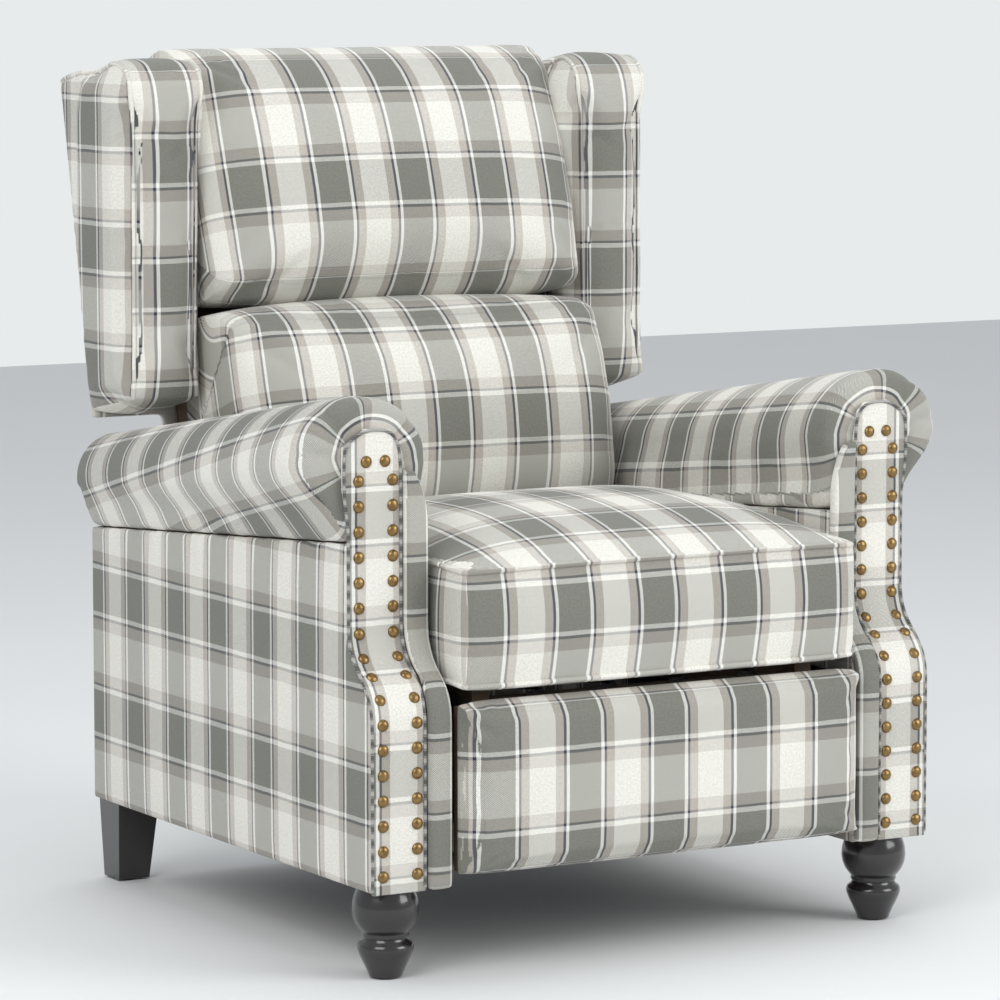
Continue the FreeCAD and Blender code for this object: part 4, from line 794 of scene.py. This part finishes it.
def wingPattern(side):
    measure = unroll(wing["line"])
    start = measure(*wing["bandRow"])[0]

    def pattern(spot, middle, facing):
        x, y, z = spot.T
        reach = np.abs(middle[:, 0])
        inward = wing["inner"] + 0.0058 - wing["inward"] * wingRise(middle[:, 2])
        beyond = (reach > wing["outer"] + 0.0012) | (reach < inward)
        inside = gapTo(wing["line"], middle[:, 1], middle[:, 2]) > 0.012
        cheek = beyond | (inside & (np.abs(facing[:, 0]) > 0.30))
        outer = cheek & (facing[:, 0] * side > 0)
        across = np.where(cheek, y - wing["cheekColumn"], wing["bandColumn"] - np.abs(x))
        along = measure(y, z) - start + wing["rowStep"]
        along = np.where(cheek, z - wing["innerRow"], along)
        return across, np.where(outer, z - wing["outerRow"], along)

    return pattern


def wingReach(spots, side):
    # the band widens upwards, and the rear edge laps over the outside back
    spots = spots.copy()
    x, y, z = spots.T
    reach = np.abs(x)
    share = (reach - wing["inner"]) / (wing["outer"] - wing["inner"])
    reach = reach + wing["wider"] * share - wing["inward"] * wingRise(z) * (1 - share)
    x[:] = side * reach
    y += wing["lap"] * ramp(y, 0.27, 0.13) * np.clip(share * 3 - 0.6, 0.0, 1.0)
    return spots


def wingSeam(across, side):
    # the line of a welt along the front and the top, from the lower front corner
    line = rounded([(side * across, y + 0.003, z) for y, z in wing["line"][1:]], 3)
    return [Vector(spot) for spot in wingReach(np.array(line), side)]


def makeWing(name, side):
    piece = bulk(f"{name}_wing", f"{name}Wing", wing)
    held = np.where(points(piece)[:, 1] > 0.35, 0.6, 0.0)
    fill(piece, wing, held)
    soften(piece, 2)
    movePoints(piece, wingReach(points(piece), side))
    outerSeam = wingSeam(wing["outer"] - 0.004, side)
    innerSeam = wingSeam(wing["inner"] + 0.004, side)
    pinch(piece, [outerSeam, innerSeam], 0.002, 0.005)
    applied(piece, "SUBSURF", levels=1, render_levels=1)
    smoothShade(piece)
    layCloth(piece, wingPattern(side))
    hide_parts(f"{name}_wing")
    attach(piece, "back")
    welt(f"{name}WingOuterWelt", outerSeam, piece, wingPattern(side), "back", radius=0.003)
    welt(f"{name}WingInnerWelt", innerSeam, piece, wingPattern(side), "back", radius=0.0026)
    return piece


# arm rolls
roll = {
    "voxel": 0.005, "soften": 14, "drawnIn": 0.0, "start": -0.3312, "end": 0.3225,
    "frontMiddle": (0.343, 0.572), "frontRound": 0.075,
    "rearMiddle": (0.333, 0.495), "rearRound": 0.052,
    "grain": 0.12, "pleats": 7, "pleatDepth": 0.006, "pleatLength": 0.034, "fuller": 0.011,
    "navyLap": 0.052, "navyDepth": -0.268, "navyColumn": -0.0155, "navyRow": 0.178,
}


def rollMiddle(depth):
    share = np.clip((depth - roll["start"]) / (roll["end"] - roll["start"]), 0.0, 1.0)
    across = roll["frontMiddle"][0] * (1 - share) + roll["rearMiddle"][0] * share
    up = roll["frontMiddle"][1] * (1 - share) + roll["rearMiddle"][1] * share
    return across, up, roll["frontRound"] * (1 - share) + roll["rearRound"] * share


def rollPattern(spot, middle, facing):
    x, y, z = spot.T
    across, up, radius = rollMiddle(y)
    dx = np.abs(x) - across
    dz = z - up
    turn = np.arctan2(dz, dx)
    turn = np.where(turn < -2.4, turn + 2 * math.pi, turn)
    lap = turn * radius
    along = lap + roll["grain"] * (y + 0.33) - roll["navyLap"]
    # the front cap goes on from the lap, and the rear end is a flat piece of its own
    cap = facing[:, 1] < -0.72
    rear = facing[:, 1] > 0.72
    depth = np.where(cap, roll["start"] - (radius - np.hypot(dx, dz)), y)
    across = depth - roll["navyDepth"] - roll["grain"] * (lap + 0.04)
    across = np.where(rear, x - roll["navyColumn"], across)
    return across, np.where(rear, z - roll["navyRow"], along)


def makeRoll(name, side):
    piece = bulk(f"{name}_arm_roll", f"{name}ArmRoll", roll)
    spots = points(piece)
    facing = normals(piece)
    x, y, z = spots.T
    across, up, radius = rollMiddle(y)
    dx = np.abs(x) - across
    dz = z - up
    turn = np.arctan2(dz, dx)
    out = np.hypot(dx, dz)
    # remeshing and smoothing shrink the scroll a little, so it is filled out to its round again
    upper = (turn > -0.25) & (turn < math.pi - 0.05)
    want = np.where(upper & (out > radius * 0.8), radius - out, 0.0)
    want *= ramp(y, roll["start"] + 0.012, 0.02) / np.maximum(out, 1e-6)
    x += side * want * dx
    z += want * dz
    # the scroll swells sideways towards the front
    fuller = roll["fuller"] * ramp(-y, -0.1, 0.43) ** 1.5
    x += side * dx / radius * fuller * ramp(dz, -0.05, 0.05)
    # pleats gather the cloth round the front of the scroll
    front = 1.0 - ramp(y, roll["start"], roll["pleatLength"])
    wave = np.abs(np.sin((turn - 0.20) * roll["pleats"] * 0.59)) ** 0.45
    fold = (1.0 - wave) * roll["pleatDepth"] * front * (turn > -0.3)
    spots -= facing * fold[:, None]
    movePoints(piece, spots)
    applied(piece, "SUBSURF", levels=1, render_levels=1)
    smoothShade(piece)
    layCloth(piece, rollPattern)
    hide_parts(f"{name}_arm_roll")
    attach(piece, "base")
    return piece


# arm fronts
wrap = {
    "voxel": 0.004, "soften": 8, "drawnIn": 0.0, "tuck": 0.022, "rise": 0.004,
    "line": [(-0.3985, 0.102), (-0.3985, 0.290), (-0.3940, 0.315), (-0.3715, 0.341),
             (-0.3495, 0.368), (-0.3445, 0.392), (-0.3445, 0.560)],
    "navyColumn": 0.320, "navyRow": (-0.3445, 0.4665), "rowStep": 0.066,
}
strip = {
    "line": [(-0.3905, 0.102), (-0.3905, 0.290), (-0.3860, 0.315), (-0.3635, 0.341),
             (-0.3415, 0.368), (-0.3365, 0.392), (-0.3365, 0.609)],
    "navyColumn": 0.299, "navyRow": (-0.3365, 0.4807), "rowStep": 0.0,
    "corner": 0.016, "inset": 0.0012,
}


def frontPattern(care):
    measure = unroll(care["line"])
    start = measure(*care["navyRow"])[0]

    def pattern(spot, middle, facing):
        x, y, z = spot.T
        edge = np.abs(facing[:, 0]) > 0.75
        across = np.where(edge, y + 0.43, care["navyColumn"] - np.abs(x))
        return across, measure(y, z) - start + care["rowStep"]

    return pattern


def makeWrap(name, side):
    piece = bulk(f"{name}_front_wrap", f"{name}FrontWrap", wrap)
    # its top tucks under the scroll
    spots = points(piece)
    x, y, z = spots.T
    tuck = ramp(z, 0.500, 0.060) ** 2
    inner = ramp(-np.abs(x), -0.300, 0.040)
    x += side * wrap["tuck"] * tuck * inner
    z += wrap["rise"] * tuck * (1 - inner)
    movePoints(piece, spots)
    applied(piece, "SUBSURF", levels=1, render_levels=1)
    smoothShade(piece)
    layCloth(piece, frontPattern(wrap))
    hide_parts(f"{name}_front_wrap")
    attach(piece, "base")
    return piece


def dashes(spot, middle, facing):
    # piping cut on the bias shows short dashes
    return spot[:, 2] * 7.0, np.full(len(spot), 0.001)


def makeStrip(name):
    piece = copyNode(f"{name}_nail_strip", f"{name}NailStrip")
    spots = points(piece)
    low, high, top = spots[:, 0].min(), spots[:, 0].max(), spots[:, 2].max()
    corner, inset = strip["corner"], strip["inset"]
    # the facing ends in half an octagon
    bpy.ops.object.mode_set(mode="EDIT")
    for x, way in ((low, -1), (high, 1)):
        bpy.ops.mesh.select_all(action="SELECT")
        bpy.ops.mesh.bisect(plane_co=(x - way * corner, 0, top), plane_no=(way, 0, 1),
                            use_fill=True, clear_outer=True)
    bpy.ops.object.mode_set(mode="OBJECT")
    applied(piece, "BEVEL", width=inset, segments=2, limit_method="ANGLE", angle_limit=math.radians(40))
    smoothShade(piece, 35)
    layCloth(piece, frontPattern(strip))
    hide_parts(f"{name}_nail_strip")
    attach(piece, "base")
    edge = strip["line"][:-1]
    face = edge[-1][0]
    path = [Vector((low + inset, y, z)) for y, z in edge]
    path += [Vector((low + inset, face, top - corner)), Vector((low + corner, face, top - inset))]
    path += [Vector((high - corner, face, top - inset)), Vector((high - inset, face, top - corner))]
    path += [Vector((high - inset, y, z)) for y, z in reversed(edge)]
    welt(f"{name}StripWelt", path, piece, dashes, "base", radius=0.0019, lift=0.0004)
    return piece


# nailheads
nail = {"round": 0.0070, "rise": 0.0046, "sides": 16, "rings": 10, "sunk": 0.0016, "apart": 0.0135}


def nailSpots():
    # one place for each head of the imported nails
    spots = np.unique(np.round(points(nodes["nailheads"]), 5), axis=0)
    found = []
    while len(spots):
        near = np.linalg.norm(spots - spots[0], axis=1) < nail["apart"]
        found.append(spots[near])
        spots = spots[~near]
    return found


def stripLean(up):
    # how far the strip's face leans at a height
    measure = 0.004
    line = np.array(strip["line"])
    front = np.interp([up - measure, up + measure], line[:, 1], line[:, 0])
    return math.atan2(front[1] - front[0], 2 * measure)


def makeNails():
    heads = []
    bpy.ops.object.select_all(action="DESELECT")
    bpy.ops.mesh.primitive_uv_sphere_add(
        segments=nail["sides"], ring_count=nail["rings"], radius=nail["round"])
    pattern = bpy.context.object
    bpy.ops.object.mode_set(mode="EDIT")
    bpy.ops.mesh.select_all(action="SELECT")
    bpy.ops.mesh.bisect(plane_co=(0, 0, 0.0002), plane_no=(0, 0, 1), use_fill=True, clear_inner=True)
    bpy.ops.mesh.select_all(action="SELECT")
    bpy.ops.transform.resize(value=(1.0, 1.0, nail["rise"] / nail["round"]), center_override=(0, 0, 0))
    bpy.ops.object.mode_set(mode="OBJECT")
    for group in nailSpots():
        middle = (group.min(axis=0) + group.max(axis=0)) / 2
        lean = stripLean(middle[2])
        head = pattern.copy()
        head.data = pattern.data.copy()
        bpy.context.scene.collection.objects.link(head)
        turn = Matrix.Rotation(math.radians(90) - lean, 4, "X")
        away = turn @ Vector((0, 0, -nail["sunk"]))
        head.data.transform(Matrix.Translation(Vector(middle) + away) @ turn)
        heads.append(head)
    bpy.data.objects.remove(pattern)
    piece = join("nailHeads", heads)
    smoothShade(piece, 60)
    piece.data.materials.clear()
    piece.data.materials.append(brass)
    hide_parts("nailheads")
    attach(piece, "base")
    print("nailheads:", len(heads))
    return piece


# legs
leg = {
    "across": 0.326, "depth": -0.3445, "sides": 56,
    # radius and height of each ring, from the foot up
    "rings": [(0.0185, 0.002), (0.0200, 0.006), (0.0235, 0.014), (0.0285, 0.024), (0.0312, 0.031),
              (0.0318, 0.036), (0.0300, 0.040), (0.0262, 0.0425), (0.0252, 0.0455), (0.0268, 0.0485),
              (0.0262, 0.0515), (0.0288, 0.0545), (0.0335, 0.061), (0.0366, 0.069), (0.0376, 0.077),
              (0.0370, 0.085), (0.0352, 0.092), (0.0335, 0.0965), (0.0328, 0.1015)],
}


def makeFrontLeg(name, side):
    # turned by hand: one disc, drawn up ring by ring
    x, y = side * leg["across"], leg["depth"]
    first, low = leg["rings"][0]
    bpy.ops.object.select_all(action="DESELECT")
    bpy.ops.mesh.primitive_circle_add(
        vertices=leg["sides"], radius=first, fill_type="NGON", location=(x, y, low))
    piece = bpy.context.object
    piece.name = f"{name}FrontLeg"
    bpy.ops.object.transform_apply(location=True, rotation=True, scale=True)
    bpy.ops.object.mode_set(mode="EDIT")
    bpy.ops.mesh.select_all(action="SELECT")
    for (before, below), (ring, up) in zip(leg["rings"], leg["rings"][1:]):
        bpy.ops.mesh.extrude_region_move(TRANSFORM_OT_translate={"value": (0, 0, up - below)})
        grow = ring / before
        bpy.ops.transform.resize(value=(grow, grow, 1.0), center_override=(x, y, up))
    bpy.ops.mesh.select_all(action="SELECT")
    bpy.ops.mesh.normals_make_consistent(inside=False)
    bpy.ops.object.mode_set(mode="OBJECT")
    smoothShade(piece, 40)
    piece.data.materials.append(lacquer)
    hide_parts(f"{name}_front_leg")
    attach(piece, "base")
    return piece


# dressed panels
panel = {
    "voxel": 0.0035, "outer": 0.3618, "crown": 0.0022, "pucker": 0.0009, "puckerHeight": 0.030,
    "navyDepth": -0.268, "navyRow": 0.178,
}
backPanel = {"voxel": 0.0045, "crown": 0.003, "navyColumn": -0.0155, "navyRow": 0.7643, "stretch": 1.02}


def panelPattern(spot, middle, facing):
    edge = np.abs(facing[:, 1]) > 0.75
    across = np.where(edge, spot[:, 0], spot[:, 1] - panel["navyDepth"])
    return across, spot[:, 2] - panel["navyRow"]


def makePanel(name, side):
    piece = copyNode(f"{name}_side_panel", f"{name}SidePanel")
    applied(piece, "REMESH", mode="VOXEL", voxel_size=panel["voxel"])
    soften(piece, 3)
    spots = points(piece)
    x, y, z = spots.T
    crown = panel["crown"] * dome(y, -0.03, 0.35, 6) * dome(z, 0.28, 0.19, 6)
    # small puckers hang from the seam under the roll
    seam = 0.484 - 0.049 * (y + 0.3312) / 0.6537
    wave = np.sin(y * 190 + np.sin(y * 37) * 2)
    pucker = panel["pucker"] * np.exp(-((seam - z) / panel["puckerHeight"]) ** 2) * wave
    x += side * ramp(np.abs(x), panel["outer"], 0.003) * (crown + pucker)
    movePoints(piece, spots)
    smoothShade(piece)
    layCloth(piece, panelPattern)
    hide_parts(f"{name}_side_panel")
    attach(piece, "base")
    return piece


def backPattern(spot, middle, facing):
    along = (spot[:, 2] - backPanel["navyRow"]) * backPanel["stretch"]
    return spot[:, 0] - backPanel["navyColumn"], along


def makeBackPanel():
    piece = copyNode("outside_back_panel", "outsideBack")
    applied(piece, "REMESH", mode="VOXEL", voxel_size=backPanel["voxel"])
    soften(piece, 3)
    spots = points(piece)
    x, y, z = spots.T
    lean = hinge["lean"]
    out = depthOnBack(y, z)
    rise = (y - hinge["y"]) * math.sin(lean) + (z - hinge["z"]) * math.cos(lean)
    crown = backPanel["crown"] * dome(x, 0.0, 0.355, 6) * dome(rise, 0.33, 0.34, 6)
    crown *= ramp(out, np.median(out), 0.003)
    y += crown * math.cos(lean)
    z -= crown * math.sin(lean)
    movePoints(piece, spots)
    smoothShade(piece)
    layCloth(piece, backPattern)
    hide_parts("outside_back_panel")
    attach(piece, "back")
    return piece


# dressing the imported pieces
def dressNodes():
    wood = ("post", "base_rail", "cross_rails", "corner_blocks", "arm_boards", "seat_frame",
            "back_frame", "footrest_board")
    metal = ("link", "side_plate", "bracket", "glide_rail", "hinge_plates", "cross_tube",
             "seat_springs", "leg_bolts", "stud")
    for name, piece in nodes.items():
        if name in ("leg_glides", "glide_blocks"):
            finish = nylon
        elif "leg" in name and "bolts" not in name:
            finish = lacquer
        elif any(word in name for word in metal):
            finish = steel
        elif any(word in name for word in wood):
            finish = timber
        elif name == "dust_cover":
            finish = dustCloth
        elif name == "back_webbing":
            finish = webbing
        elif name == "nailheads":
            finish = brass
        elif "rear_panel" in name or "bolster" in name or "pad" in name:
            finish = crossPlaid
        else:
            finish = panelPlaid
        piece.data.materials.clear()
        piece.data.materials.append(finish)


dressNodes()
print("packed pieces dressed")
for name, side in (("left", -1), ("right", 1)):
    makeRoll(name, side)
    makeWrap(name, side)
    makeStrip(name)
    makePanel(name, side)
    makeFrontLeg(name, side)
print("arms made")
makeNails()
makeBackPanel()
makeFootrest()
print("footrest made")
makeCushion()
print("seat cushion made")
makeBolster("upper_bolster", "upperBolster", upper)
makeBolster("lower_bolster", "lowerBolster", lower)
print("bolsters made")
for name, side in (("left", -1), ("right", 1)):
    makeWing(name, side)
print("wings made")


# floor and light
room = {
    "floor": (0.80, 0.81, 0.81, 1.0), "paler": (0.84, 0.845, 0.84, 1.0),
    "sky": (0.80, 0.83, 0.83, 1.0), "glow": (0.93, 0.96, 1.0, 1.0), "glowPower": 0.62,
}


def makeFloor():
    bpy.ops.object.select_all(action="DESELECT")
    bpy.ops.mesh.primitive_plane_add(size=14.0, location=(0, 0, 0))
    floor = bpy.context.object
    floor.name = "floor"
    recipe = Recipe("paleFloor")
    place = recipe.node("ShaderNodeTexCoord", {}, {}, 3)
    cloud = recipe.noise(place, 1.3, 2.0)
    tone = recipe.mix(cloud, room["floor"], room["paler"])
    recipe.finish(Base_Color=tone, Roughness=0.75)
    floor.data.materials.append(recipe.material)


def makeWorld():
    world = bpy.data.worlds.new("studio")
    bpy.context.scene.world = world
    world.use_nodes = True
    tree = world.node_tree
    tree.nodes.clear()
    out = tree.nodes.new("ShaderNodeOutputWorld")
    seen = tree.nodes.new("ShaderNodeBackground")
    seen.inputs[0].default_value = room["sky"]
    seen.inputs[1].default_value = 1.0
    glow = tree.nodes.new("ShaderNodeBackground")
    glow.inputs[0].default_value = room["glow"]
    glow.inputs[1].default_value = room["glowPower"]
    path = tree.nodes.new("ShaderNodeLightPath")
    mix = tree.nodes.new("ShaderNodeMixShader")
    tree.links.new(path.outputs["Is Camera Ray"], mix.inputs[0])
    tree.links.new(glow.outputs[0], mix.inputs[1])
    tree.links.new(seen.outputs[0], mix.inputs[2])
    tree.links.new(mix.outputs[0], out.inputs[0])


def makeLamp(name, place, aim, size, power, colour):
    bpy.ops.object.light_add(type="AREA", location=place)
    lamp = bpy.context.object
    lamp.name = name
    lamp.data.size = size
    lamp.data.energy = power
    lamp.data.color = colour
    lamp.rotation_euler = (Vector(aim) - Vector(place)).to_track_quat("-Z", "Y").to_euler()


makeFloor()
makeWorld()
makeLamp("window", (-3.2, -2.2, 3.0), (0, 0, 0.5), 2.6, 85.0, (0.985, 0.995, 0.985))
makeLamp("fill", (2.6, -3.4, 2.2), (0, 0, 0.5), 2.4, 86.0, (0.985, 1.0, 0.985))
makeLamp("above", (0.3, 0.6, 3.8), (0, 0, 0.5), 2.6, 31.0, (0.97, 0.99, 1.0))
scene = bpy.context.scene
scene.view_settings.view_transform = "Standard"
print("floor and light set")
